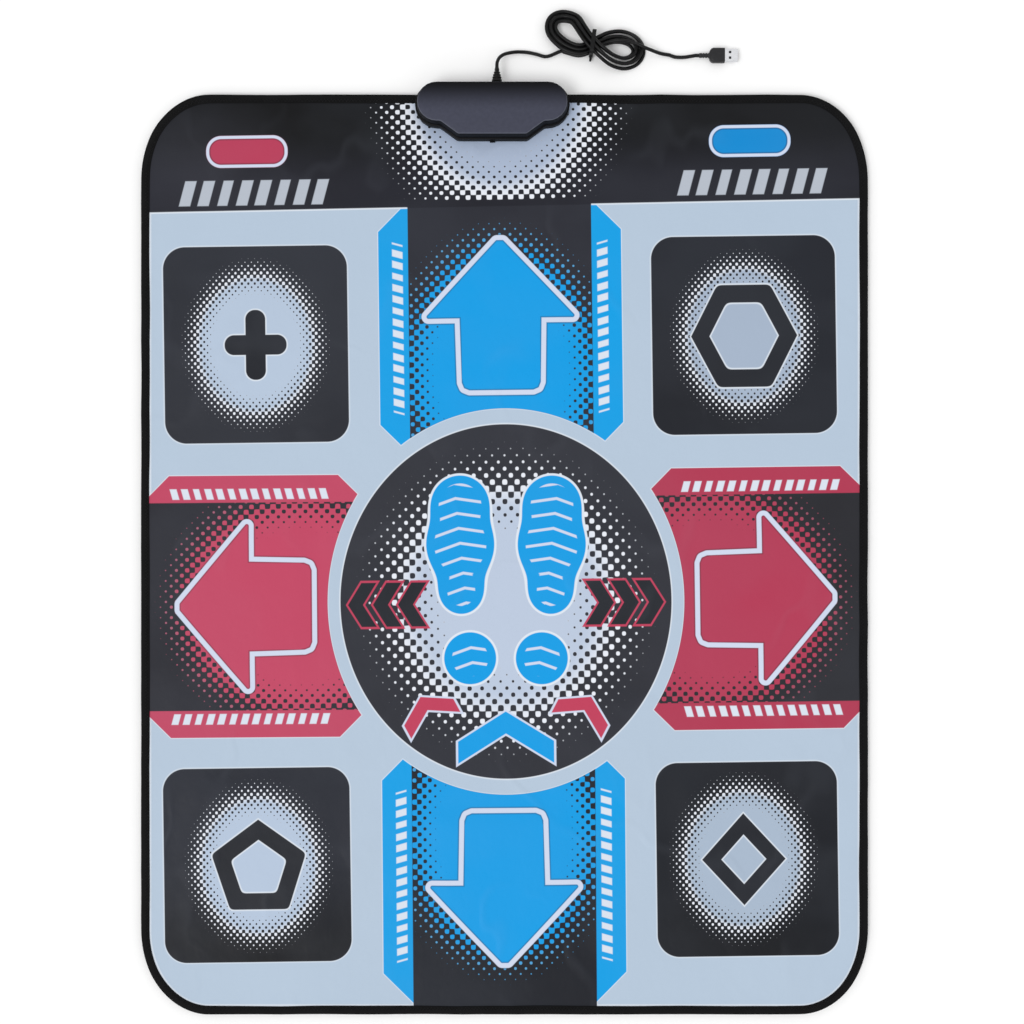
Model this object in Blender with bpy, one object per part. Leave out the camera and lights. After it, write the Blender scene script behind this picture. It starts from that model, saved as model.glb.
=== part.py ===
"""A soft dance mat controller with its control box, its cord and its plug.

The mat lies on the floor, which is Z = 0, and +Y is its head, where the control box sits.
It is a stack of sheets held by a binding sewn round the edge. Ten stepping zones of the cover
press down through windows in the sheets until a contact patch meets its electrode below.
"""
import math

import bmesh
import bpy
import numpy as np
from mathutils import Matrix, Vector
from mathutils.geometry import interpolate_bezier

MM = 0.001

# Clearances
FIT = 0.3 * MM            # between two pieces that touch
HOLE_FIT = 0.4 * MM       # round a screw
OVERCUT = 1 * MM          # how far a cutter reaches past what it cuts

# The mat's outline
MAT_WIDTH = 727 * MM
MAT_LENGTH = 920 * MM
CORNER_ALONG_X = 68 * MM  # reach of a corner's curve along each side
CORNER_ALONG_Y = 84 * MM
CORNER_STEPS = 10

# Sheets of the mat, from the floor up
BASE_SHEET = 2.2 * MM
FILM = 0.25 * MM
ELECTRODE_RISE = 0.2 * MM
SPACER = 2.0 * MM
COVER = 0.8 * MM
BINDING_WALL = 0.9 * MM
BINDING_LIP = 8.5 * MM    # how far the binding reaches in over the cover
BINDING_ROUND = 0.5 * MM

# The edges of the mat that the other pieces keep to
HEAD_Y = MAT_LENGTH / 2
FOOT_Y = -MAT_LENGTH / 2
SIDE_X = MAT_WIDTH / 2

# The stepping zones
HEAD_TO_UPPER_ROW = 245 * MM
FOOT_TO_LOWER_ROW = 151 * MM
SIDE_TO_CORNER_ZONE = 117.5 * MM
SIDE_TO_LEFT_RIGHT = 105.5 * MM
SIDE_TO_SMALL_ZONE = 112.5 * MM
HEAD_TO_SMALL_ZONE = 52 * MM
UPPER_ROW_Y = HEAD_Y - HEAD_TO_UPPER_ROW
LOWER_ROW_Y = FOOT_Y + FOOT_TO_LOWER_ROW
MIDDLE_ROW_Y = (UPPER_ROW_Y + LOWER_ROW_Y) / 2
CORNER_ZONE_X = SIDE_X - SIDE_TO_CORNER_ZONE
CORNER_ZONE_SIZE = (168 * MM, 180 * MM)
UP_DOWN_PAST_ROW = 19 * MM  # the up and down zones lie further out than the corners
UP_DOWN_SIZE = (160 * MM, 160 * MM)
LEFT_RIGHT_X = SIDE_X - SIDE_TO_LEFT_RIGHT
LEFT_RIGHT_SIZE = (144 * MM, 176 * MM)
SMALL_ZONE_X = SIDE_X - SIDE_TO_SMALL_ZONE
SMALL_ZONE_Y = HEAD_Y - HEAD_TO_SMALL_ZONE
SMALL_ZONE_SIZE = (80 * MM, 31 * MM)
ZONE_CORNER = 20 * MM
LEAST_CORNER = 1 * MM
LEAST_STRAIGHT = 0.8 * MM  # between two corners of a short side
ZONE_CROWN = 1.2 * MM     # how far a pad swells above the cover
CROWN_RISE = ((0.3, 0.45), (0.72, 0.8), (1.2, 1.0))  # inwards by patch borders, up by crowns
SMALL_CROWN = 0.8 * MM
PATCH_BORDER = 14 * MM    # from a pad's edge to its contact patch
SMALL_PATCH_BORDER = 7 * MM
ELECTRODE_BORDER = 3 * MM

# The control box, seen from above
BOX_X = -12 * MM
BOX_OVERHANG = 7.5 * MM   # past the head of the mat
BOX_REAR_Y = HEAD_Y + BOX_OVERHANG
BOX_WIDTH = 149 * MM
LOBE_DEPTH = 39.2 * MM
NOSE_DEPTH = 12.8 * MM
NOSE_BACK_WIDTH = 103 * MM
NOSE_FRONT_WIDTH = 68 * MM
NOSE_CORNER = 4 * MM
NOSE_ROOT = 6 * MM
LOBE_CORNER = LOBE_DEPTH / 2 - 0.1 * MM

# The control box, seen from the side
BOX_TOP_Z = 27 * MM
PARTING_Z = 15 * MM
SKIRT_Z = 0.6 * MM
LOWER_FLANGE = 2.5 * MM   # the lower shell stands out past the top outline
UPPER_DRAFT = 1.0 * MM
TOP_ROUND = 2.4 * MM
TOP_ROUND_STEPS = 3
TOP_CROWN = 0.5 * MM
CROWN_RUN = 6 * MM        # from the rolled edge to where the top is flat
CEILING = 2.0 * MM
WALL = 2.0 * MM
LIP = 1.2 * MM
LIP_RISE = 1.8 * MM
PARTING_BEVEL = 0.6 * MM
SKIRT_BEVEL = 0.8 * MM
TRAY_FLOOR = 1.5 * MM
NUB_WIDTH = 5 * MM
NUB_REACH = 1.4 * MM
NUB_HEIGHT = 3 * MM

# What holds the control box to the mat
CLAMP_WIDTH = 126 * MM
CLAMP_DEPTH = 30 * MM
CLAMP_THICKNESS = 1.5 * MM
CLAMP_CORNER = 4 * MM
CLAMP_REAR_GAP = 2 * MM   # from the binding's lip to the plate
SCREW_FRONT_SPACING = 58 * MM
SCREW_REAR_SPACING = 112 * MM
SCREW_ROWS_APART = 20 * MM
SCREW_SHANK = 1.5 * MM    # radius
SCREW_HEAD = 2.8 * MM     # radius
SCREW_HEAD_DEPTH = 1.2 * MM
SCREW_SUNK = 0.2 * MM     # from the plate's underside up to the head
SCREW_TIP_Z = 20 * MM
SCREW_POINT = 1.5 * MM    # length of the tapered tip
BOSS = 3.2 * MM           # radius

# Inside the control box
BOARD_WIDTH = 66 * MM
BOARD_DEPTH = 22 * MM
BOARD_THICKNESS = 1.6 * MM
BOARD_REAR_GAP = 12 * MM  # from the rear of the top outline
POST_RADIUS = 1.6 * MM
POST_HEIGHT = 1.3 * MM
POST_INSET = 4 * MM
CHIP_PLACE = (16 * MM, 3 * MM)  # from the middle of the board
CHIP_SIDE = 9 * MM
CHIP_HEIGHT = 1.2 * MM
SOCKET_WIDTH = 32 * MM
SOCKET_DEPTH = 8 * MM
SOCKET_HEIGHT = 4 * MM
SOCKET_OVERHANG = 4 * MM  # past the front of the board
SOCKET_GRIP = 2.8 * MM    # how deep the tail goes in
TAIL_WIDTH = 26 * MM
TAIL_LENGTH = 24 * MM     # under the cover
TAIL_BEND = 2.0 * MM
TAIL_BEND_STEPS = 6
TAIL_SLOT = 1.4 * MM
WIRE_DIAMETER = 2.4 * MM

# The cord, its strain relief and its plug
CORD_DIAMETER = 3.5 * MM
CORD_ROUNDNESS = 2        # bevel resolution of a plain stretch
HANK_ROUNDNESS = 1
CORD_SPACING = 2.2 * CORD_DIAMETER
CURVE_STEPS = 16          # between two stations of a route
STRAIGHT_END = 3 * MM
BOOT_X = -7.5 * MM
BOOT_LENGTH = 14 * MM
BOOT_WIDE = 5.0 * MM      # radius
BOOT_TIP = 2.1 * MM       # radius
BOOT_NECK = 3.4 * MM      # radius where it passes the wall
BOOT_FLANGE = 1.5 * MM
BOOT_COLLAR = 2 * MM      # the plain disc against the wall
BOOT_END = 1.5 * MM       # the plain end round the cord
BOOT_RIBS = 4
BOOT_GROOVE = 0.6 * MM
BOOT_SIDES = 18
HEAD_TO_PLUG = 39.9 * MM
PLUG_MIDDLE_Y = HEAD_Y + HEAD_TO_PLUG
PLUG_REAR_X = 195 * MM
PLUG_NECK_LENGTH = 10 * MM
PLUG_NECK = 2.4 * MM      # radius
PLUG_RIBS = 3
PLUG_RIB_PITCH = 2.6 * MM
PLUG_RIB_WIDTH = 1.2 * MM
PLUG_GROOVE = 0.5 * MM    # depth, and the run down to it
PLUG_BODY_LENGTH = 15.5 * MM
PLUG_SWELL = ((0.8 * MM, 0.72, 0.8), (2.2 * MM, 0.92, 0.95), (4 * MM, 1, 1))
PLUG_WIDTH = 14.2 * MM
PLUG_HEIGHT = 7.6 * MM
PLUG_CORNER = 1.8 * MM
PLUG_EDGE = 0.4 * MM      # bevel round the front
SHELL_LENGTH = 12.8 * MM
SHELL_WIDTH = 12 * MM
SHELL_HEIGHT = 4.5 * MM
SHELL_WALL = 0.4 * MM
SHELL_CORNER = 0.5 * MM
SHELL_SEAT = 3 * MM       # how deep the shell sits in the overmould
SHELL_BACK = 1 * MM
SHELL_HOLE = 2.4 * MM
SHELL_HOLE_SPACING = 5.6 * MM
SHELL_HOLE_PLACE = 5.2 * MM  # from the front of the overmould
TONGUE_HEIGHT = 1.6 * MM
TONGUE_RECESS = 0.6 * MM

# The hank: one cord wound in a figure eight on two layers
HANK_X = 88 * MM
HEAD_TO_HANK = 50.3 * MM
HANK_MIDDLE = (HANK_X, HEAD_Y + HEAD_TO_HANK)
HANK_REACH = 46.5 * MM    # from the crossing to the middle of a lobe's end
LOBE_FULLNESS = 0.8       # 1 is a lemniscate, whose two sides cross at a right angle
END_CROWDING = 0.2        # draws the points together at the lobes' ends
HANK_TILT = math.radians(-8)
LEFT_LOBE_LEAN = math.radians(22)
LEFT_LOBE_FAN = 0.1       # how much further apart the turns lie there than at the crossing
RIGHT_LOBE_FAN = 0.3
LOBE_RUN = 30 * MM        # along which a lobe turns to its lean and fans out
LOOPS = 5
LOOP_POINTS = 24
LOOP_PITCH = 4.2 * MM     # from one turn to the next, side by side
LAYER_PITCH = 4.35 * MM   # from one layer up to the next
HANK_START_ANGLE = -0.6
OPENING_STEPS = 5         # the cord leaves this many points past where it came in
CROSSING_FLAT = 11 * MM   # the upper strands stay high for this far each side
CROSSING_FALL = 31 * MM   # and are down again after this much more
CROSSING_LIFT = 1.4 * MM  # room for the tie under the crossing
LEAVING_CLIMB = 0.07      # of a turn, in which the cord rises to pass over the others
LEAST_HANK_GAP = 0.4 * MM

# The tie round the waist of the hank
TIE_THICKNESS = 0.8 * MM
TIE_WIDTH = 4 * MM
TIE_CORNER = 3 * MM
TIE_END = 5 * MM          # length of the twisted end
TIE_END_RADII = (1.6 * MM, 1.0 * MM)
TIE_END_Z = 4 * MM

# Heights in the stack
LOWER_FILM_Z = BASE_SHEET + FIT
ELECTRODE_TOP_Z = LOWER_FILM_Z + FILM + ELECTRODE_RISE
SPACER_Z = LOWER_FILM_Z + FILM + FIT
UPPER_FILM_Z = SPACER_Z + SPACER + FIT
COVER_Z = UPPER_FILM_Z + FILM + FIT
COVER_TOP_Z = COVER_Z + COVER
BINDING_TOP_Z = COVER_TOP_Z + FIT + BINDING_WALL
LAYER_INSET = BINDING_WALL + FIT
TRAY_FLOOR_Z = BINDING_TOP_Z + FIT
PATCH_DEPTH = 0.2 * MM    # how far a patch hangs below the upper film
STEP_TRAVEL = UPPER_FILM_Z - PATCH_DEPTH - ELECTRODE_TOP_Z - FIT
PLUG_MIDDLE_Z = PLUG_HEIGHT / 2


def clear_scene():
    for thing in list(bpy.data.objects):
        bpy.data.objects.remove(thing, do_unlink=True)


def make_material(name, colour, roughness, metallic=0.0):
    made = bpy.data.materials.new(name)
    made.use_nodes = True
    shader = made.node_tree.nodes["Principled BSDF"]
    shader.inputs["Base Color"].default_value = (*colour, 1.0)
    shader.inputs["Roughness"].default_value = roughness
    shader.inputs["Metallic"].default_value = metallic
    return made


def link_object(name, data, material, origin=(0, 0, 0)):
    thing = bpy.data.objects.new(name, data)
    bpy.context.scene.collection.objects.link(thing)
    thing.location = origin
    if material is not None:
        data.materials.append(material)
    return thing


def finish_mesh(name, shape, material, origin=(0, 0, 0)):
    """Turns a bmesh, drawn round its own origin, into an object that stands at origin."""
    bmesh.ops.recalc_face_normals(shape, faces=shape.faces)
    mesh = bpy.data.meshes.new(name)
    shape.to_mesh(mesh)
    shape.free()
    mesh.shade_smooth()
    mesh.set_sharp_from_angle(angle=math.radians(35))
    return link_object(name, mesh, material, origin)


def as_cutter(thing):
    thing.hide_render = True
    thing.display_type = "WIRE"
    return thing


def combine(thing, tool, operation):
    change = thing.modifiers.new(f"{operation.lower()}_{tool.name}", "BOOLEAN")
    change.operation = operation
    change.object = tool
    change.solver = "EXACT"


def rounded_outline(width, length, reach_x, reach_y, steps, middle=(0, 0)):
    """Points round a rectangle whose corners are quarter ellipses, anticlockwise."""
    points = []
    signs = ((1, 1), (-1, 1), (-1, -1), (1, -1))
    for corner, (side_x, side_y) in enumerate(signs):
        for step in range(steps + 1):
            angle = math.pi / 2 * (corner + step / steps)
            x = side_x * (width / 2 - reach_x) + reach_x * math.cos(angle)
            y = side_y * (length / 2 - reach_y) + reach_y * math.sin(angle)
            points.append((middle[0] + x, middle[1] + y))
    return points


def mat_outline(inset):
    return rounded_outline(
        MAT_WIDTH - 2 * inset,
        MAT_LENGTH - 2 * inset,
        CORNER_ALONG_X - inset,
        CORNER_ALONG_Y - inset,
        CORNER_STEPS,
    )


def bridge(shape, low, high):
    """Faces between two loops of the same number of points."""
    count = len(low)
    for here in range(count):
        after = (here + 1) % count
        shape.faces.new((low[here], low[after], high[after], high[here]))


def add_body(shape, rings, joined=False):
    """A body through rings of points: a bar with filled ends or, if joined, a closed hoop."""
    loops = [[shape.verts.new(point) for point in ring] for ring in rings]
    for low, high in zip(loops, loops[1:]):
        bridge(shape, low, high)
    if joined:
        bridge(shape, loops[-1], loops[0])
    else:
        shape.faces.new(loops[0])
        shape.faces.new(loops[-1])


def level(outline, z):
    """An outline's points at one height."""
    return [(x, y, z) for x, y in outline]


def loft(name, rings, material, origin=(0, 0, 0), joined=False):
    """One closed body through rings of (outline, z)."""
    shape = bmesh.new()
    add_body(shape, [level(outline, z) for outline, z in rings], joined)
    return finish_mesh(name, shape, material, origin)


def block(name, low, high, material=None):
    """A box between two corners."""
    shape = bmesh.new()
    bmesh.ops.create_cube(shape, size=1)
    size = [b - a for a, b in zip(low, high)]
    middle = [(a + b) / 2 for a, b in zip(low, high)]
    bmesh.ops.scale(shape, vec=size, verts=shape.verts)
    bmesh.ops.translate(shape, vec=middle, verts=shape.verts)
    return finish_mesh(name, shape, material)


def turned(name, profile, segments, material, origin, axis="Z"):
    """Spins a profile of (radius, height) points about +Z, or about +Y, through origin."""
    shape = bmesh.new()
    chain = [shape.verts.new((radius, 0, height)) for radius, height in profile]
    edges = [shape.edges.new(pair) for pair in zip(chain, chain[1:])]
    bmesh.ops.spin(
        shape,
        geom=chain + edges,
        cent=(0, 0, 0),
        axis=(0, 0, 1),
        angle=math.tau,
        steps=segments,
        use_merge=True,
    )
    bmesh.ops.remove_doubles(shape, verts=shape.verts, dist=0.00001)
    if axis == "Y":
        bmesh.ops.rotate(shape, matrix=Matrix.Rotation(-math.pi / 2, 3, "X"), verts=shape.verts)
    return finish_mesh(name, shape, material, origin)


# Materials

CLOTH_GREY = make_material("printed cover cloth", (0.48, 0.58, 0.72), 0.5)
CLOTH_BLUE = make_material("blue printed cloth", (0.016, 0.34, 0.76), 0.5)
CLOTH_RED = make_material("red printed cloth", (0.56, 0.06, 0.12), 0.5)
CLOTH_CHARCOAL = make_material("charcoal printed cloth", (0.04, 0.042, 0.052), 0.5)
BINDING_CLOTH = make_material("black binding tape", (0.01, 0.01, 0.011), 0.8)
BACKING = make_material("dark anti-slip backing", (0.025, 0.025, 0.028), 0.9)
FOAM = make_material("white spacer foam", (0.75, 0.75, 0.72), 0.9)
CLEAR_FILM = make_material("polyester film", (0.62, 0.66, 0.7), 0.3)
CARBON = make_material("printed carbon", (0.02, 0.02, 0.02), 0.5)
BOX_PLASTIC = make_material("slate moulded plastic", (0.05, 0.052, 0.065), 0.45)
BOX_DARK = make_material("black moulded plastic", (0.016, 0.017, 0.021), 0.45)
STEEL = make_material("bright steel", (0.62, 0.62, 0.62), 0.3, 1.0)
ZINC = make_material("zinc plated steel", (0.55, 0.55, 0.56), 0.35, 1.0)
BOARD_GREEN = make_material("green circuit board", (0.02, 0.16, 0.06), 0.4)
CHIP_BLACK = make_material("black chip resin", (0.015, 0.015, 0.015), 0.5)
SOCKET_WHITE = make_material("white nylon", (0.8, 0.8, 0.76), 0.5)
CORD_BLACK = make_material("black cord jacket", (0.012, 0.012, 0.013), 0.45)


# The stepping zones

def zones():
    """Name, middle, size, crown, patch border and cloth of each stepping zone."""
    up_y = UPPER_ROW_Y + UP_DOWN_PAST_ROW
    down_y = LOWER_ROW_Y - UP_DOWN_PAST_ROW
    large = (ZONE_CROWN, PATCH_BORDER)
    small = (SMALL_CROWN, SMALL_PATCH_BORDER)
    return (
        ("up", (0, up_y), UP_DOWN_SIZE, *large, CLOTH_BLUE),
        ("down", (0, down_y), UP_DOWN_SIZE, *large, CLOTH_BLUE),
        ("left", (-LEFT_RIGHT_X, MIDDLE_ROW_Y), LEFT_RIGHT_SIZE, *large, CLOTH_RED),
        ("right", (LEFT_RIGHT_X, MIDDLE_ROW_Y), LEFT_RIGHT_SIZE, *large, CLOTH_RED),
        ("upper_left", (-CORNER_ZONE_X, UPPER_ROW_Y), CORNER_ZONE_SIZE, *large, CLOTH_CHARCOAL),
        ("upper_right", (CORNER_ZONE_X, UPPER_ROW_Y), CORNER_ZONE_SIZE, *large, CLOTH_CHARCOAL),
        ("lower_left", (-CORNER_ZONE_X, LOWER_ROW_Y), CORNER_ZONE_SIZE, *large, CLOTH_CHARCOAL),
        ("lower_right", (CORNER_ZONE_X, LOWER_ROW_Y), CORNER_ZONE_SIZE, *large, CLOTH_CHARCOAL),
        ("select", (-SMALL_ZONE_X, SMALL_ZONE_Y), SMALL_ZONE_SIZE, *small, CLOTH_RED),
        ("start", (SMALL_ZONE_X, SMALL_ZONE_Y), SMALL_ZONE_SIZE, *small, CLOTH_BLUE),
    )


def zone_outline(size, inset, steps=5):
    """A zone's rounded outline about its own middle, drawn in by inset."""
    width = size[0] - 2 * inset
    length = size[1] - 2 * inset
    reach = min(ZONE_CORNER, (min(size) - LEAST_STRAIGHT) / 2)
    reach = max(reach - inset, LEAST_CORNER)
    return rounded_outline(width, length, reach, reach, steps)


def shifted(outline, middle):
    return [(x + middle[0], y + middle[1]) for x, y in outline]


def make_zone(name, middle, size, crown, border, cloth):
    """A crowned pad of the cover and the contact patch under it, which move as one."""
    edge = zone_outline(size, 0)
    rings = [(edge, 0), (edge, COVER)]
    for inwards, upwards in CROWN_RISE:
        rings.append((zone_outline(size, border * inwards), COVER + crown * upwards))
    pad = loft(f"{name}_pad", rings, cloth, (*middle, COVER_Z))
    patch_edge = zone_outline(size, border, 3)
    patch_low = UPPER_FILM_Z - PATCH_DEPTH - COVER_Z
    patch = loft(f"{name}_contact", [(patch_edge, patch_low), (patch_edge, -FIT)], CARBON)
    patch.parent = pad


def make_window_cutter():
    """One solid per zone, through every sheet above the lower film."""
    shape = bmesh.new()
    for _, middle, size, *_ in zones():
        outline = shifted(zone_outline(size, -FIT), middle)
        low = SPACER_Z - OVERCUT
        add_body(shape, [level(outline, low), level(outline, COVER_TOP_Z + OVERCUT)])
    return as_cutter(finish_mesh("window_cutter", shape, None))


# The sheets of the mat

def ring_of(middle, radius, sides):
    """Points round a circle, anticlockwise."""
    points = []
    for side in range(sides):
        angle = math.tau * side / sides
        points.append((middle[0] + radius * math.cos(angle), middle[1] + radius * math.sin(angle)))
    return points


def upright_cylinders(name, places, radius, low, high, sides=12):
    """Equal upright cylinders in one cutter or join shape."""
    shape = bmesh.new()
    for place in places:
        ring = ring_of(place, radius, sides)
        add_body(shape, [level(ring, low), level(ring, high)])
    return as_cutter(finish_mesh(name, shape, None))


def make_screw_cutter():
    radius = SCREW_SHANK + HOLE_FIT
    return upright_cylinders("screw_cutter", screw_places(), radius, -OVERCUT, SCREW_TIP_Z + FIT)


def screw_places():
    """Two screws in the nose of the box and two in its lobes."""
    places = []
    for row, spacing in ((-1, SCREW_FRONT_SPACING), (1, SCREW_REAR_SPACING)):
        y = clamp_middle_y() + row * SCREW_ROWS_APART / 2
        places.append((BOX_X - spacing / 2, y))
        places.append((BOX_X + spacing / 2, y))
    return places


def clamp_middle_y():
    rear = HEAD_Y - BINDING_LIP - CLAMP_REAR_GAP
    return rear - CLAMP_DEPTH / 2


def make_sheets(windows, screws, tail_slot, tail_pocket):
    """Base sheet, films, spacer and cover, cut for the zones, the screws and the film tail."""
    rebate = BINDING_LIP + FIT
    rebate_z = BINDING_WALL + FIT
    base_rings = [
        (mat_outline(rebate), 0),
        (mat_outline(rebate), rebate_z),
        (mat_outline(LAYER_INSET), rebate_z),
        (mat_outline(LAYER_INSET), BASE_SHEET),
    ]
    base = loft("base_sheet", base_rings, BACKING)
    recess = clamp_outline(FIT)
    recess_rings = [(recess, -OVERCUT), (recess, CLAMP_THICKNESS + FIT)]
    combine(base, as_cutter(loft("clamp_cutter", recess_rings, None)), "DIFFERENCE")
    combine(base, screws, "DIFFERENCE")

    inner = mat_outline(LAYER_INSET)
    film = loft("lower_film", [(inner, LOWER_FILM_Z), (inner, LOWER_FILM_Z + FILM)], CLEAR_FILM)
    shape = bmesh.new()
    for _, middle, size, _, border, _ in zones():
        outline = shifted(zone_outline(size, border - ELECTRODE_BORDER, 3), middle)
        low = LOWER_FILM_Z + FILM / 2
        add_body(shape, [level(outline, low), level(outline, ELECTRODE_TOP_Z)])
    electrodes = as_cutter(finish_mesh("electrode_shapes", shape, CARBON))
    combine(film, electrodes, "UNION")
    combine(film, screws, "DIFFERENCE")

    spacer = loft("spacer_foam", [(inner, SPACER_Z), (inner, SPACER_Z + SPACER)], FOAM)
    upper = loft("upper_film", [(inner, UPPER_FILM_Z), (inner, UPPER_FILM_Z + FILM)], CLEAR_FILM)
    cover = loft("top_cover", [(inner, COVER_Z), (inner, COVER_TOP_Z)], CLOTH_GREY)
    for sheet in (spacer, upper, cover):
        combine(sheet, windows, "DIFFERENCE")
        combine(sheet, screws, "DIFFERENCE")
    combine(spacer, tail_pocket, "DIFFERENCE")
    combine(upper, tail_slot, "DIFFERENCE")
    combine(cover, tail_slot, "DIFFERENCE")


def make_binding():
    """Tape folded round the edge: an upper lip, an outer wall and a lower lip, in one ring."""
    wall = BINDING_WALL
    lip = BINDING_LIP
    top = BINDING_TOP_Z
    soft = BINDING_ROUND
    section = (
        (lip, 0),
        (soft, 0),
        (0, soft),
        (0, top - soft),
        (soft, top),
        (lip - soft, top),
        (lip, top - soft),
        (lip, top - wall),
        (wall, top - wall),
        (wall, wall),
        (lip, wall),
    )
    rings = [(mat_outline(inset), z) for inset, z in section]
    loft("edge_binding", rings, BINDING_CLOTH, joined=True)


# The control box

def filleted(corners, steps):
    """An outline through (x, y, radius) corners, anticlockwise, each rounded by its radius."""
    points = []
    count = len(corners)
    for place, (x, y, radius) in enumerate(corners):
        corner = Vector((x, y))
        before = Vector(corners[place - 1][:2])
        after = Vector(corners[(place + 1) % count][:2])
        back = (before - corner).normalized()
        ahead = (after - corner).normalized()
        half = back.angle(ahead) / 2
        reach = radius / math.tan(half)
        middle = corner + (back + ahead).normalized() * radius / math.sin(half)
        start = corner + back * reach - middle
        turn = (-back).angle_signed(ahead)
        for step in range(steps + 1):
            spoke = Matrix.Rotation(-turn * step / steps, 2) @ start
            points.append(tuple(middle + spoke))
    return points


def box_corners():
    """The sharp corners of the box's top outline, each with its rounding."""
    half = BOX_WIDTH / 2
    rear = BOX_REAR_Y
    lobe = rear - LOBE_DEPTH
    nose = lobe - NOSE_DEPTH
    right = [
        (NOSE_FRONT_WIDTH / 2, nose, NOSE_CORNER),
        (NOSE_BACK_WIDTH / 2, lobe, -NOSE_ROOT),
        (half, lobe, LOBE_CORNER),
        (half, rear, LOBE_CORNER),
    ]
    left = [(-x, y, radius) for x, y, radius in reversed(right)]
    return [(x + BOX_X, y, radius) for x, y, radius in right + left]


def box_outline(outset, steps=6):
    """The box's outline moved out by outset all round. A negative radius is a hollow corner."""
    corners = box_corners()
    moved = []
    count = len(corners)
    for place, (x, y, radius) in enumerate(corners):
        corner = Vector((x, y))
        before = (corner - Vector(corners[place - 1][:2])).normalized()
        after = (Vector(corners[(place + 1) % count][:2]) - corner).normalized()
        out_before = Vector((before.y, -before.x))
        out_after = Vector((after.y, -after.x))
        push = (out_before + out_after) / (1 + out_before.dot(out_after))
        place_out = corner + push * outset
        grown = radius + outset if radius > 0 else -(radius + outset)
        moved.append((place_out.x, place_out.y, max(grown, 0.5 * MM)))
    return filleted(moved, steps)


def make_upper_shell(screws, neck):
    """A shell open below: a drafted wall, a rolled top edge and four screw bosses inside."""
    wall_outset = UPPER_DRAFT - WALL
    bottom = PARTING_Z + FIT
    ceiling = BOX_TOP_Z - CEILING
    inner_round = TOP_ROUND
    rings = []
    for step in range(TOP_ROUND_STEPS, -1, -1):
        angle = math.pi / 2 * step / TOP_ROUND_STEPS
        inset = WALL + inner_round * (1 - math.cos(angle))
        rings.append((box_outline(-inset), ceiling - inner_round * (1 - math.sin(angle))))
    rings.append((box_outline(wall_outset), PARTING_Z + LIP_RISE + FIT))
    rings.append((box_outline(wall_outset), bottom))
    rings.append((box_outline(UPPER_DRAFT), bottom))
    for step in range(TOP_ROUND_STEPS + 1):
        angle = math.pi / 2 * step / TOP_ROUND_STEPS
        inset = TOP_ROUND * (1 - math.cos(angle))
        rings.append((box_outline(-inset), BOX_TOP_Z - TOP_ROUND * (1 - math.sin(angle))))
    rings.append((box_outline(-TOP_ROUND - CROWN_RUN), BOX_TOP_Z + TOP_CROWN))
    shell = loft("box_upper_shell", rings, BOX_PLASTIC)
    boss_low = TRAY_FLOOR_Z + TRAY_FLOOR + FIT
    boss_high = ceiling + CEILING / 2
    bosses = upright_cylinders("boss_shapes", screw_places(), BOSS, boss_low, boss_high)
    combine(shell, bosses, "UNION")
    combine(shell, screws, "DIFFERENCE")
    combine(shell, neck, "DIFFERENCE")


def board_rect():
    """The circuit board's low and high corners in plan."""
    rear = BOX_REAR_Y - BOARD_REAR_GAP
    low = (BOX_X - BOARD_WIDTH / 2, rear - BOARD_DEPTH)
    return low, (BOX_X + BOARD_WIDTH / 2, rear)


def board_z():
    return TRAY_FLOOR_Z + TRAY_FLOOR + POST_HEIGHT + FIT


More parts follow.
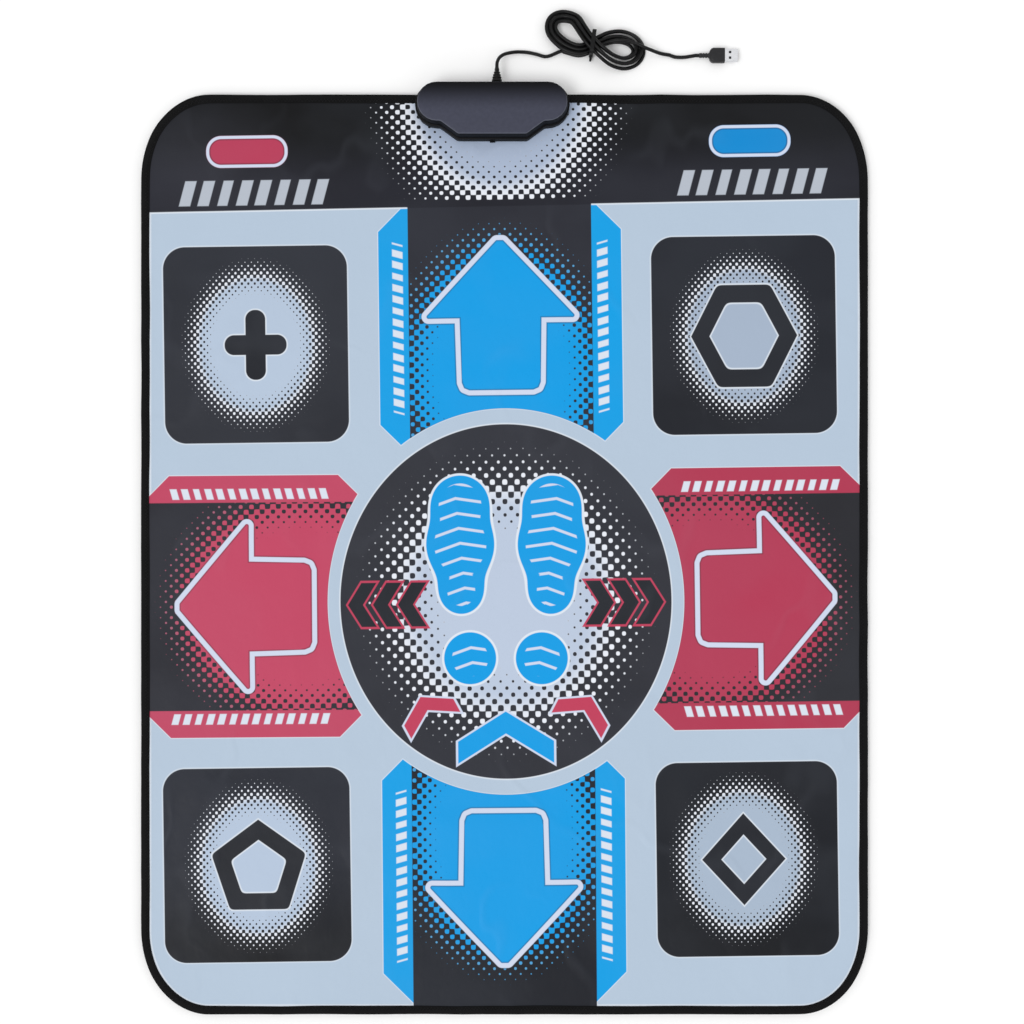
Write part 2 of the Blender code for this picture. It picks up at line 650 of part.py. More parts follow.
def make_lower_shell(screws, neck, tail_slot):
    """A tray that sits on the mat and comes down behind its edge in a skirt."""
    tray_floor_top = TRAY_FLOOR_Z + TRAY_FLOOR
    lip_out = UPPER_DRAFT - WALL - FIT
    lip_in = lip_out - LIP
    rings = [
        (box_outline(lip_in), tray_floor_top),
        (box_outline(lip_in), PARTING_Z + LIP_RISE),
        (box_outline(lip_out), PARTING_Z + LIP_RISE),
        (box_outline(lip_out), PARTING_Z),
        (box_outline(LOWER_FLANGE - PARTING_BEVEL), PARTING_Z),
        (box_outline(LOWER_FLANGE), PARTING_Z - PARTING_BEVEL),
        (box_outline(LOWER_FLANGE), SKIRT_Z + SKIRT_BEVEL),
        (box_outline(LOWER_FLANGE - SKIRT_BEVEL), SKIRT_Z),
    ]
    shell = loft("box_lower_shell", rings, BOX_DARK)

    (low_x, low_y), (high_x, high_y) = board_rect()
    posts = []
    for x in (low_x + POST_INSET, high_x - POST_INSET):
        for y in (low_y + POST_INSET, high_y - POST_INSET):
            posts.append((x, y))
    post_top = tray_floor_top + POST_HEIGHT
    post_low = tray_floor_top - TRAY_FLOOR / 2
    props = upright_cylinders("post_shapes", posts, POST_RADIUS, post_low, post_top)
    combine(shell, props, "UNION")

    front = BOX_REAR_Y - LOBE_DEPTH - NOSE_DEPTH - LOWER_FLANGE
    nub = block(
        "nub_shape",
        (BOX_X - NUB_WIDTH / 2, front - NUB_REACH, COVER_TOP_Z + 2 * FIT),
        (BOX_X + NUB_WIDTH / 2, front + WALL / 2, COVER_TOP_Z + NUB_HEIGHT),
    )
    combine(shell, as_cutter(nub), "UNION")

    under = box_outline(LOWER_FLANGE - WALL)
    hollow = loft("underside_cutter", [(under, -OVERCUT), (under, TRAY_FLOOR_Z)], None)
    combine(shell, as_cutter(hollow), "DIFFERENCE")
    edge = HEAD_Y + FIT
    wide = BOX_WIDTH
    mat_room = block(
        "mat_cutter",
        (BOX_X - wide, edge - wide, -OVERCUT),
        (BOX_X + wide, edge, COVER_TOP_Z + FIT),
    )
    combine(shell, as_cutter(mat_room), "DIFFERENCE")
    binding_room = block(
        "binding_cutter",
        (BOX_X - wide, edge - BINDING_LIP - 2 * FIT, -OVERCUT),
        (BOX_X + wide, edge, TRAY_FLOOR_Z),
    )
    combine(shell, as_cutter(binding_room), "DIFFERENCE")
    combine(shell, screws, "DIFFERENCE")
    combine(shell, neck, "DIFFERENCE")
    combine(shell, tail_slot, "DIFFERENCE")


def clamp_outline(outset):
    return rounded_outline(
        CLAMP_WIDTH + 2 * outset,
        CLAMP_DEPTH + 2 * outset,
        CLAMP_CORNER + outset,
        CLAMP_CORNER + outset,
        4,
        (BOX_X, clamp_middle_y()),
    )


def make_clamp_plate():
    plate_rings = [(clamp_outline(0), 0), (clamp_outline(0), CLAMP_THICKNESS)]
    plate = loft("box_clamp_plate", plate_rings, BOX_DARK)
    holes = bmesh.new()
    for place in screw_places():
        wide = ring_of(place, SCREW_HEAD + HOLE_FIT, 16)
        narrow = ring_of(place, SCREW_SHANK + HOLE_FIT, 16)
        rings = [
            level(wide, -OVERCUT),
            level(wide, SCREW_SUNK),
            level(narrow, SCREW_HEAD_DEPTH),
            level(narrow, CLAMP_THICKNESS + OVERCUT),
        ]
        add_body(holes, rings)
    combine(plate, as_cutter(finish_mesh("countersink_cutter", holes, None)), "DIFFERENCE")


def make_screws():
    """Countersunk screws that pass the plate, the mat and the tray into the shell's bosses."""
    profile = (
        (0, SCREW_SUNK),
        (SCREW_HEAD, SCREW_SUNK),
        (SCREW_SHANK, SCREW_HEAD_DEPTH),
        (SCREW_SHANK, SCREW_TIP_Z - SCREW_POINT),
        (SCREW_SHANK / 2, SCREW_TIP_Z),
        (0, SCREW_TIP_Z),
    )
    for number, (x, y) in enumerate(screw_places(), start=1):
        turned(f"box_screw_{number}", profile, 12, ZINC, (x, y, 0))


def make_board(tail_y):
    """The circuit board, its chip and the film's socket. Returns how high the film reaches."""
    (low_x, low_y), (high_x, high_y) = board_rect()
    low_z = board_z()
    top_z = low_z + BOARD_THICKNESS
    block("circuit_board", (low_x, low_y, low_z), (high_x, high_y, top_z), BOARD_GREEN)
    chip_x = (low_x + high_x) / 2 + CHIP_PLACE[0]
    chip_y = (low_y + high_y) / 2 + CHIP_PLACE[1]
    half = CHIP_SIDE / 2
    chip_z = top_z + FIT
    block(
        "controller_chip",
        (chip_x - half, chip_y - half, chip_z),
        (chip_x + half, chip_y + half, chip_z + CHIP_HEIGHT),
        CHIP_BLACK,
    )
    front = low_y - SOCKET_OVERHANG
    socket = block(
        "film_socket",
        (BOX_X - SOCKET_WIDTH / 2, front, chip_z),
        (BOX_X + SOCKET_WIDTH / 2, front + SOCKET_DEPTH, chip_z + SOCKET_HEIGHT),
        SOCKET_WHITE,
    )
    slot = block(
        "socket_cutter",
        (BOX_X - TAIL_WIDTH / 2 - FIT, tail_y - TAIL_SLOT / 2, chip_z - OVERCUT),
        (BOX_X + TAIL_WIDTH / 2 + FIT, tail_y + TAIL_SLOT / 2, chip_z + SOCKET_GRIP),
    )
    combine(socket, as_cutter(slot), "DIFFERENCE")
    return chip_z + SOCKET_GRIP - FIT


def tail_place_y():
    """Where the film tail stands up, in the overhang of its socket."""
    (_, low_y), _ = board_rect()
    return low_y - SOCKET_OVERHANG / 2


def make_tail_cutters():
    tail_y = tail_place_y()
    wide = TAIL_WIDTH / 2 + FIT
    slot = block(
        "tail_slot_cutter",
        (BOX_X - wide, tail_y - TAIL_BEND - 2 * FIT, UPPER_FILM_Z - FIT / 2),
        (BOX_X + wide, tail_y + TAIL_SLOT / 2, TRAY_FLOOR_Z + TRAY_FLOOR + FIT),
    )
    pocket = block(
        "tail_pocket_cutter",
        (BOX_X - wide, tail_y - TAIL_LENGTH - FIT, SPACER_Z + SPACER - FILM - 2 * FIT),
        (BOX_X + wide, tail_y + TAIL_SLOT / 2, SPACER_Z + SPACER + FIT / 2),
    )
    return as_cutter(slot), as_cutter(pocket)


def make_film_tail(top_z):
    """A strip that lies in the spacer's pocket and bends up through the slots to its socket."""
    tail_y = tail_place_y()
    low_z = SPACER_Z + SPACER - FILM - FIT
    inner = TAIL_BEND - FILM / 2
    outer = TAIL_BEND + FILM / 2
    middle_y = tail_y - TAIL_BEND
    middle_z = low_z + outer
    lower_side = [(tail_y - TAIL_LENGTH, middle_z - outer)]
    upper_side = [(tail_y - TAIL_LENGTH, middle_z - inner)]
    for step in range(TAIL_BEND_STEPS + 1):
        angle = math.pi / 2 * (step / TAIL_BEND_STEPS - 1)
        lower_side.append((middle_y + outer * math.cos(angle), middle_z + outer * math.sin(angle)))
        upper_side.append((middle_y + inner * math.cos(angle), middle_z + inner * math.sin(angle)))
    lower_side.append((middle_y + outer, top_z))
    upper_side.append((middle_y + inner, top_z))
    section = lower_side + list(reversed(upper_side))
    rings = []
    for x in (BOX_X - TAIL_WIDTH / 2, BOX_X + TAIL_WIDTH / 2):
        rings.append([(x, y, z) for y, z in section])
    shape = bmesh.new()
    add_body(shape, rings)
    finish_mesh("film_tail", shape, CLEAR_FILM)


# The cord

def smooth_route(stations, spacing):
    """Points a steady distance apart on one smooth curve through the stations."""
    places = [Vector(station) for station in stations]
    ghost_start = places[0] * 2 - places[1]
    ghost_end = places[-1] * 2 - places[-2]
    padded = [ghost_start] + places + [ghost_end]
    fine = []
    for before, here, after, beyond in zip(padded, padded[1:], padded[2:], padded[3:]):
        leave = here + (after - before) / 6
        arrive = after - (beyond - here) / 6
        piece = interpolate_bezier(here, leave, arrive, after, CURVE_STEPS + 1)
        fine.extend(piece if not fine else piece[1:])
    steps = [0.0]
    for one, two in zip(fine, fine[1:]):
        steps.append(steps[-1] + (two - one).length)
    count = max(2, round(steps[-1] / spacing))
    wanted = np.linspace(0, steps[-1], count + 1)
    axes = [np.interp(wanted, steps, [point[axis] for point in fine]) for axis in range(3)]
    return [Vector(point) for point in zip(*axes)]


def tube(name, points, diameter, roundness, material):
    data = bpy.data.curves.new(name, "CURVE")
    data.dimensions = "3D"
    data.bevel_depth = diameter / 2
    data.bevel_resolution = roundness
    data.use_fill_caps = True
    spline = data.splines.new("POLY")
    spline.points.add(len(points) - 1)
    for point, place in zip(spline.points, points):
        point.co = (*place, 1.0)
    return link_object(name, data, material)


def route_length(points):
    return sum((two - one).length for one, two in zip(points, points[1:]))


def ease(share):
    share = min(1.0, max(0.0, share))
    return share * share * (3 - 2 * share)


def hank_base(angle):
    """The middle line of the figure eight, before it is tilted, at an angle along it."""
    along = angle + END_CROWDING * math.sin(2 * angle)
    x = HANK_REACH * math.sin(along) / (1 + math.cos(along) ** 2)
    y = x * math.cos(along) * LOBE_FULLNESS
    lean = LEFT_LOBE_LEAN * ease(-x / LOBE_RUN)
    return Matrix.Rotation(-lean, 2) @ Vector((x, y))


def lobe_fan(angle):
    """The share by which the turns lie further apart than at the crossing."""
    x = hank_base(angle).x
    fan = RIGHT_LOBE_FAN if x > 0 else LEFT_LOBE_FAN
    return fan * ease(abs(x) / LOBE_RUN)


def crossing_height(angle):
    """How high the whole bundle is carried near the crossing, over the other bundle or the tie."""
    distance = hank_base(angle).length
    near = 1 - ease((distance - CROSSING_FLAT) / CROSSING_FALL)
    over = math.cos(angle) < 0
    return near * (CROSSING_LIFT + (2 * LAYER_PITCH if over else 0))


def hank_points():
    """The cord's line through the hank: spirals out on one layer and back on the next."""
    count = LOOPS * LOOP_POINTS + OPENING_STEPS
    turns = count / LOOP_POINTS
    spread = LOOP_PITCH * turns / 4
    tilt = Matrix.Rotation(HANK_TILT, 2)
    points = []
    for step in range(count + 1):
        turn = turns * step / count
        angle = HANK_START_ANGLE + math.tau * turn
        ahead = hank_base(angle + 0.001) - hank_base(angle - 0.001)
        left = Vector((-ahead.y, ahead.x)).normalized()
        offset = -spread + LOOP_PITCH * min(turn, turns - turn)
        offset *= 1 + lobe_fan(angle)
        layer = ease((turn - turns / 2 + 0.25) / 0.5)
        leaving = ease((turn - turns + LEAVING_CLIMB) / LEAVING_CLIMB)
        plan = tilt @ (hank_base(angle) + left * offset) + Vector(HANK_MIDDLE)
        z = CORD_DIAMETER / 2 + crossing_height(angle) + LAYER_PITCH * (layer + leaving)
        points.append(Vector((plan.x, plan.y, z)))
    for end, inner in ((0, 1), (-1, -2)):
        flat = points[end] - points[inner]
        flat.z = 0
        straight = points[end] + flat.normalized() * CORD_DIAMETER
        points.insert(0 if end == 0 else len(points), straight)
    return points


def least_gap(points, diameter):
    """The least clear distance between two stretches of one tube."""
    fine = []
    for one, two in zip(points, points[1:]):
        for part in range(4):
            fine.append(one.lerp(two, part / 4))
    places = np.array(fine)
    along = np.concatenate(([0.0], np.cumsum(np.linalg.norm(np.diff(places, axis=0), axis=1))))
    apart = np.linalg.norm(places[:, None] - places[None], axis=2)
    near = np.abs(along[:, None] - along[None]) < 4 * diameter
    apart[near] = np.inf
    return float(apart.min()) - diameter


def run_between(start, way_out, stations, end, way_in):
    """A route with a short straight run at each end and one smooth curve between them."""
    first = Vector(start) + Vector(way_out) * STRAIGHT_END
    last = Vector(end) - Vector(way_in) * STRAIGHT_END
    middle = smooth_route([first, *stations, last], CORD_SPACING)
    return [Vector(start), *middle, Vector(end)]


def lead_points(hank_start, way_in):
    """From the boot's tip down to the floor, then along it to the hank."""
    exit_y = BOX_REAR_Y + LOWER_FLANGE + BOOT_LENGTH + FIT
    floor = CORD_DIAMETER / 2
    stations = [
        (BOOT_X + 0.6 * MM, exit_y + 7 * MM, PARTING_Z - 1.6 * MM),
        (BOOT_X + 3.0 * MM, exit_y + 12 * MM, PARTING_Z - 4.6 * MM),
        (BOOT_X + 7.6 * MM, exit_y + 16 * MM, floor + 5.2 * MM),
        (BOOT_X + 14 * MM, exit_y + 18.6 * MM, floor + 1.8 * MM),
        (BOOT_X + 21 * MM, exit_y + 19.8 * MM, floor + 0.2 * MM),
        (BOOT_X + 30 * MM, exit_y + 19.4 * MM, floor),
        (BOOT_X + 40 * MM, exit_y + 17.4 * MM, floor),
        (BOOT_X + 50 * MM, exit_y + 15.2 * MM, floor),
    ]
    end = hank_start - way_in * FIT
    return run_between((BOOT_X, exit_y, PARTING_Z), (0, 1, 0), stations, end, way_in)


def tail_points(hank_end, way_out):
    """Over the end of the right lobe, down to the floor and along it to the plug."""
    floor = CORD_DIAMETER / 2
    high = hank_end.z
    start = hank_end + way_out * FIT
    neck_x = PLUG_REAR_X - FIT
    stations = [
        (start.x + 11 * MM, start.y - 2.6 * MM, high),
        (start.x + 19 * MM, start.y - 6.4 * MM, high),
        (start.x + 26 * MM, start.y - 8.6 * MM, high - 1.4 * MM),
        (start.x + 32 * MM, start.y - 9.8 * MM, high - 4.8 * MM),
        (start.x + 38.5 * MM, start.y - 10.8 * MM, floor + 1.4 * MM),
        (start.x + 46 * MM, start.y - 11.6 * MM, floor),
        (neck_x - 24 * MM, PLUG_MIDDLE_Y - 0.8 * MM, floor),
        (neck_x - 15 * MM, PLUG_MIDDLE_Y - 1.3 * MM, floor + 0.5 * MM),
    ]
    end = Vector((neck_x, PLUG_MIDDLE_Y, PLUG_MIDDLE_Z))
    return run_between(start, way_out, stations, end, (1, 0, 0))


def make_cord():
    winding = hank_points()
    gap = least_gap(winding, CORD_DIAMETER)
    print(f"least gap of the hank to itself: {gap / MM:.2f} mm")
    if gap < LEAST_HANK_GAP:
        print("the hank's turns lie too close")
    way_in = (winding[1] - winding[0]).normalized()
    way_out = (winding[-1] - winding[-2]).normalized()
    lead = lead_points(winding[0], way_in)
    tail = tail_points(winding[-1], way_out)
    tube("cord_lead", lead, CORD_DIAMETER, CORD_ROUNDNESS, CORD_BLACK)
    tube("cord_hank", winding, CORD_DIAMETER, HANK_ROUNDNESS, CORD_BLACK)
    tube("cord_tail", tail, CORD_DIAMETER, CORD_ROUNDNESS, CORD_BLACK)
    whole = route_length(lead) + route_length(winding) + route_length(tail)
    print(f"length of the cord: {whole:.3f} m")


def make_tie():
    """A flat tie round the hank's waist, with its twisted end standing out in front."""
    turns = LOOPS + OPENING_STEPS / LOOP_POINTS
    bundle = LOOP_PITCH * turns / 4 + CORD_DIAMETER / 2
    slope = math.atan(LOBE_FULLNESS)
    half = bundle / math.cos(slope) + TIE_WIDTH / 2 * math.tan(slope) + 2 * FIT
    low = CROSSING_LIFT - FIT
    high = CROSSING_LIFT + 3 * LAYER_PITCH + CORD_DIAMETER + FIT
    rings = []
    for side, grow in ((-1, 0), (-1, TIE_THICKNESS), (1, TIE_THICKNESS), (1, 0)):
        reach = TIE_CORNER + grow
        tall = high - low + 2 * grow
        outline = rounded_outline(2 * (half + grow), tall, reach, reach, 4)
        rings.append([(side * TIE_WIDTH / 2, y, z + (low + high) / 2) for y, z in outline])
    shape = bmesh.new()
    add_body(shape, rings, joined=True)
    tie = finish_mesh("hank_tie", shape, CORD_BLACK, (*HANK_MIDDLE, 0))
    tie.rotation_euler.z = HANK_TILT
    knot = bmesh.new()
    bmesh.ops.create_cone(
        knot,
        cap_ends=True,
        segments=10,
        radius1=TIE_END_RADII[0],
        radius2=TIE_END_RADII[1],
        depth=TIE_END,
        matrix=Matrix.Rotation(math.pi / 2, 4, "X"),
    )
    bmesh.ops.translate(knot, vec=(0, -half - TIE_END / 2, TIE_END_Z), verts=knot.verts)
    end = as_cutter(finish_mesh("tie_end_shape", knot, None, (*HANK_MIDDLE, 0)))
    end.rotation_euler.z = HANK_TILT
    combine(tie, end, "UNION")


def make_boot():
    """A tapered strain relief with grooves, held in the wall by a neck between two flanges."""
    wall_out = BOX_REAR_Y + LOWER_FLANGE
    wall_in = BOX_REAR_Y + UPPER_DRAFT - WALL - FIT - LIP
    neck_low = wall_in - FIT - wall_out
    collar_end = FIT + BOOT_COLLAR
    profile = [
        (0, neck_low - BOOT_FLANGE),
        (BOOT_WIDE, neck_low - BOOT_FLANGE),
        (BOOT_WIDE, neck_low),
        (BOOT_NECK, neck_low),
        (BOOT_NECK, FIT),
        (BOOT_WIDE, FIT),
        (BOOT_WIDE, collar_end),
    ]
    step = (BOOT_LENGTH - collar_end - BOOT_END) / BOOT_RIBS
    for rib in range(BOOT_RIBS):
        start = collar_end + rib * step
        radius = BOOT_WIDE + (BOOT_TIP - BOOT_WIDE) * (rib + 0.5) / BOOT_RIBS
        for along, drop in ((0.1, BOOT_GROOVE), (0.4, BOOT_GROOVE), (0.6, 0), (0.95, 0)):
            profile.append((radius - drop, start + along * step))
    profile.append((BOOT_TIP, BOOT_LENGTH - BOOT_END))
    profile.append((BOOT_TIP, BOOT_LENGTH))
    profile.append((0, BOOT_LENGTH))
    turned("cord_boot", profile, BOOT_SIDES, CORD_BLACK, (BOOT_X, wall_out, PARTING_Z), "Y")
    return wall_out + neck_low - BOOT_FLANGE


def make_neck_cutter():
    """A cylinder through the rear walls, in which the boot's neck sits."""
    shape = bmesh.new()
    wall_out = BOX_REAR_Y + LOWER_FLANGE
    place = Matrix.Translation((BOOT_X, wall_out, PARTING_Z))
    bmesh.ops.create_cone(
        shape,
        cap_ends=True,
        segments=BOOT_SIDES,
        radius1=BOOT_NECK + FIT,
        radius2=BOOT_NECK + FIT,
        depth=6 * (LOWER_FLANGE + WALL),
        matrix=place @ Matrix.Rotation(math.pi / 2, 4, "X"),
    )
    return as_cutter(finish_mesh("neck_cutter", shape, None))


def make_inner_wires(boot_rear_y):
    """The cord's wires inside the box, from the boot to the board."""
    _, (_, board_rear) = board_rect()
    land_z = board_z() + BOARD_THICKNESS + FIT + WIRE_DIAMETER / 2
    stations = [
        (BOOT_X, boot_rear_y - FIT, PARTING_Z),
        (BOOT_X, boot_rear_y - 3 * MM, PARTING_Z),
        (BOOT_X - 0.5 * MM, (boot_rear_y + board_rear) / 2, (PARTING_Z + land_z) / 2 + 0.4 * MM),
        (BOOT_X - 1.5 * MM, board_rear - 1 * MM, land_z),
        (BOOT_X - 2 * MM, board_rear - 6 * MM, land_z),
    ]
    tube("inner_wires", smooth_route(stations, WIRE_DIAMETER), WIRE_DIAMETER, 1, CORD_BLACK)


# The plug

def plug_ring(width, height, corner, x, steps=4):
    """A rounded rectangle across the plug, at x."""
    outline = rounded_outline(width, height, corner, corner, steps)
    return [(x, y, z) for y, z in outline]


def plug_body(name, rings, material, joined=False):
    """A body through rings across the plug, which are drawn from the middle of its rear."""
    shape = bmesh.new()
    add_body(shape, rings, joined)
    return finish_mesh(name, shape, material, (PLUG_REAR_X, PLUG_MIDDLE_Y, PLUG_MIDDLE_Z))


def neck_ring(radius, x):
    """A nearly round ring of the plug's neck."""
    return plug_ring(2 * radius, 2 * radius, radius * 0.96, x)


def make_overmould():
    front = PLUG_NECK_LENGTH + PLUG_BODY_LENGTH
    rings = [neck_ring(PLUG_NECK - PLUG_GROOVE / 2, 0)]
    for rib in range(PLUG_RIBS):
        start = PLUG_RIB_WIDTH + PLUG_RIB_PITCH * rib
        rings.append(neck_ring(PLUG_NECK, start))
        rings.append(neck_ring(PLUG_NECK, start + PLUG_RIB_WIDTH))
        rings.append(neck_ring(PLUG_NECK - PLUG_GROOVE, start + PLUG_RIB_WIDTH + PLUG_GROOVE))
        rings.append(neck_ring(PLUG_NECK - PLUG_GROOVE, start + PLUG_RIB_PITCH - FIT))
    rings.append(neck_ring(PLUG_NECK + PLUG_GROOVE, PLUG_NECK_LENGTH))
    for past, share_wide, share_high in PLUG_SWELL:
        wide = PLUG_WIDTH * share_wide
        high = PLUG_HEIGHT * share_high
        rings.append(plug_ring(wide, high, PLUG_CORNER, PLUG_NECK_LENGTH + past))
    rings.append(plug_ring(PLUG_WIDTH, PLUG_HEIGHT, PLUG_CORNER, front - PLUG_EDGE))
    wide = PLUG_WIDTH - 2 * PLUG_EDGE
    high = PLUG_HEIGHT - 2 * PLUG_EDGE
    rings.append(plug_ring(wide, high, PLUG_CORNER - PLUG_EDGE, front))
    body = plug_body("plug_overmould", rings, BOX_DARK)
    seat = (SHELL_WIDTH + 2 * FIT, SHELL_HEIGHT + 2 * FIT, SHELL_CORNER + FIT)
    seat_rings = [plug_ring(*seat, front - SHELL_SEAT - FIT), plug_ring(*seat, front + OVERCUT)]
    combine(body, as_cutter(plug_body("plug_seat_cutter", seat_rings, None)), "DIFFERENCE")


def make_plug():
    """The overmould, the metal shell with its four holes and the tongue inside it."""
    make_overmould()
    front = PLUG_NECK_LENGTH + PLUG_BODY_LENGTH
    back = front - SHELL_SEAT
    tip = front + SHELL_LENGTH
    inside_width = SHELL_WIDTH - 2 * SHELL_WALL
    inside_height = SHELL_HEIGHT - 2 * SHELL_WALL
    inside = (inside_width, inside_height, SHELL_CORNER / 2)
    outside = (SHELL_WIDTH, SHELL_HEIGHT, SHELL_CORNER)
    shell_rings = [
        plug_ring(*inside, back + SHELL_BACK),
        plug_ring(*inside, tip),
        plug_ring(*outside, tip),
        plug_ring(*outside, back),
    ]
    shell = plug_body("plug_shell", shell_rings, STEEL)
    hole_x = PLUG_REAR_X + front + SHELL_HOLE_PLACE
    holes = bmesh.new()
    for side in (-1, 1):
        y = PLUG_MIDDLE_Y + side * SHELL_HOLE_SPACING / 2
        place = Matrix.Translation((hole_x, y, PLUG_MIDDLE_Z))
        size = Matrix.Diagonal((SHELL_HOLE, SHELL_HOLE, 2 * SHELL_HEIGHT, 1))
        bmesh.ops.create_cube(holes, size=1, matrix=place @ size)
    combine(shell, as_cutter(finish_mesh("shell_hole_cutter", holes, None)), "DIFFERENCE")

    half = inside_width / 2 - FIT
    high_z = PLUG_MIDDLE_Z + inside_height / 2 - FIT
    low_x = PLUG_REAR_X + back + SHELL_BACK + FIT
    high_x = PLUG_REAR_X + tip - TONGUE_RECESS
    block(
        "plug_tongue",
        (low_x, PLUG_MIDDLE_Y - half, high_z - TONGUE_HEIGHT),
        (high_x, PLUG_MIDDLE_Y + half, high_z),
        SOCKET_WHITE,
    )


def build():
    clear_scene()
    windows = make_window_cutter()
    screws = make_screw_cutter()
    tail_slot, tail_pocket = make_tail_cutters()
    neck = make_neck_cutter()
    make_sheets(windows, screws, tail_slot, tail_pocket)
    make_binding()
    for zone in zones():
        make_zone(*zone)
    make_lower_shell(screws, neck, tail_slot)
    make_upper_shell(screws, neck)
    make_clamp_plate()
    make_screws()
    tail_top = make_board(tail_place_y())
    make_film_tail(tail_top)
    boot_rear = make_boot()
    make_inner_wires(boot_rear)
    make_cord()
    make_tie()
    make_plug()
    print(f"travel of a zone down to its electrode: {STEP_TRAVEL / MM:.2f} mm")


build()
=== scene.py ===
"""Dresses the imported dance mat: printed cover and zones, binding, control box, cord and plug."""
import math
from functools import partialmethod

import bmesh
import bpy
import numpy as np
from mathutils import Matrix, Vector, noise
from mathutils.geometry import interpolate_bezier


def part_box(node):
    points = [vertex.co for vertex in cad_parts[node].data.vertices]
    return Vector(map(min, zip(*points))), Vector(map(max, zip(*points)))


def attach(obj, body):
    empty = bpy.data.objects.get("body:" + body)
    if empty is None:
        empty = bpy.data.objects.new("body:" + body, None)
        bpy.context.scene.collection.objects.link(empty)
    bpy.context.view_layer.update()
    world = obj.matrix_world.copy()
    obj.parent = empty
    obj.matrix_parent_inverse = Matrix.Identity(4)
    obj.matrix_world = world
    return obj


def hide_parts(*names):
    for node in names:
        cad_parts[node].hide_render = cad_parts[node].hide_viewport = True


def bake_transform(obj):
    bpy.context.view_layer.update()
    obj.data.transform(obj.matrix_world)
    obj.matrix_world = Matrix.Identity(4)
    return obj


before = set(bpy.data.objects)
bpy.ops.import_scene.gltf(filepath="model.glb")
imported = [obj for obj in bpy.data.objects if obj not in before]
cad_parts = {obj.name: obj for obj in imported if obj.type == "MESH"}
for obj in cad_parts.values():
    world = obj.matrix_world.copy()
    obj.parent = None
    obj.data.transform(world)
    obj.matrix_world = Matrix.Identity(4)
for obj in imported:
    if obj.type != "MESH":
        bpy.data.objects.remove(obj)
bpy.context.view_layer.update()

MM = 0.001

# The camera looks straight down, and the picture is 1.024 m wide where it meets the cover
PICTURE_MIDDLE = (7.5 * MM, 42.5 * MM)
PICTURE_WIDTH = 1.024
LENS = 50.0
SENSOR = 36.0
NEAREST_SEEN = 0.05
FURTHEST_SEEN = 20

# A plain white sky and one soft sun from the upper left, which add up to about one
SKY_LIGHT = 0.78
SUN_LIGHT = 1.05
SUN_SPREAD = math.radians(25)
SUN_TURN = (math.radians(24), math.radians(-26), 0)
FLOOR_HALF = 6.0
FLOOR_DROP = 0.1 * MM  # keeps the floor clear of the mat's underside

# The cord, as the solids have it
CORD_DIAMETER = 3.5 * MM
STRAIGHT_END = 3 * MM
FIT = 0.3 * MM
BOOT_TIP = (-7.5 * MM, 484.3 * MM, 15 * MM)
CORD_STEP = 3 * MM
CORD_ROUNDNESS = 3
CURVE_STEPS = 16
PLUG_NECK = (194.7 * MM, 499.9 * MM, 3.8 * MM)
HANK_MIDDLE = (88 * MM, 510.3 * MM)
HANK_REACH = 46.5 * MM
LOBE_FULLNESS = 0.8
END_CROWDING = 0.2
HANK_TILT = math.radians(-8)
ANGLE_STEP = 0.001  # each way, to find which way the line goes
LEFT_LOBE_LEAN = math.radians(22)
LEFT_LOBE_FAN = 0.1
RIGHT_LOBE_FAN = 0.3
LOBE_RUN = 30 * MM
LOOPS = 5
LOOP_POINTS = 24
LOOP_PITCH = 4.2 * MM
LAYER_PITCH = 4.35 * MM
HANK_START_ANGLE = -0.6
OPENING_STEPS = 5
LAYER_CLIMB = 0.5  # share of a turn in which the cord climbs a layer
LEAVING_CLIMB = 0.07
CROSSING_FLAT = 11 * MM
CROSSING_FALL = 31 * MM
CROSSING_LIFT = 1.4 * MM

# The printed cover
COVER_CELL = 6 * MM
COVER_INSET = 1.2 * MM  # from the binding's outer edge to the cover's
ZONE_CORNER = 20 * MM
SMALL_ZONE_CORNER = 15.1 * MM
CREASE = 0.45 * MM  # height of the soft creases
CREASE_RUN = 14 * MM  # from a zone's edge to full creases
EDGE_RUN = 20 * MM  # from the binding to full creases
BOX_REACH = 0.12  # half the width that stays flat for the control box
BOX_FRONT = 0.40  # and where along the mat it starts
BOX_RUN = 0.03
PAD_RISE_RUN = 26 * MM  # from a pad's edge to its full height
PAD_CREASE = 0.3  # a pad's share of the creases
PAD_CROWN = 0.85  # the share of its solid's crown that its cloth takes


def add_object(name, data):
    thing = bpy.data.objects.new(name, data)
    bpy.context.scene.collection.objects.link(thing)
    return thing


# Camera and light

def set_camera():
    data = bpy.data.cameras.new("camera")
    data.lens = LENS
    data.sensor_width = SENSOR
    data.clip_start = NEAREST_SEEN
    data.clip_end = FURTHEST_SEEN
    camera = add_object("camera", data)
    camera.location = (*PICTURE_MIDDLE, COVER_HIGH.z + PICTURE_WIDTH * LENS / SENSOR)
    bpy.context.scene.camera = camera


def set_sky():
    """A sky that lights the scene, and that looks plain white where it is seen or mirrored."""
    world = bpy.data.worlds.new("sky")
    bpy.context.scene.world = world
    world.use_nodes = True
    tree = world.node_tree
    rays = tree.nodes.new("ShaderNodeLightPath").outputs
    kinds = ("Camera", "Glossy", "Transmission")
    straight, mirrored, passed = [Field(tree, rays[f"Is {kind} Ray"]) for kind in kinds]
    seen = straight.most(mirrored).most(passed)
    sky = tree.nodes["Background"]
    sky.inputs["Color"].default_value = (1, 1, 1, 1)
    feed(tree, seen * (1 - SKY_LIGHT) + SKY_LIGHT, sky.inputs["Strength"])


def set_sun():
    sun = bpy.data.lights.new("sun", "SUN")
    sun.energy = SUN_LIGHT
    sun.angle = SUN_SPREAD
    add_object("sun", sun).rotation_euler = SUN_TURN


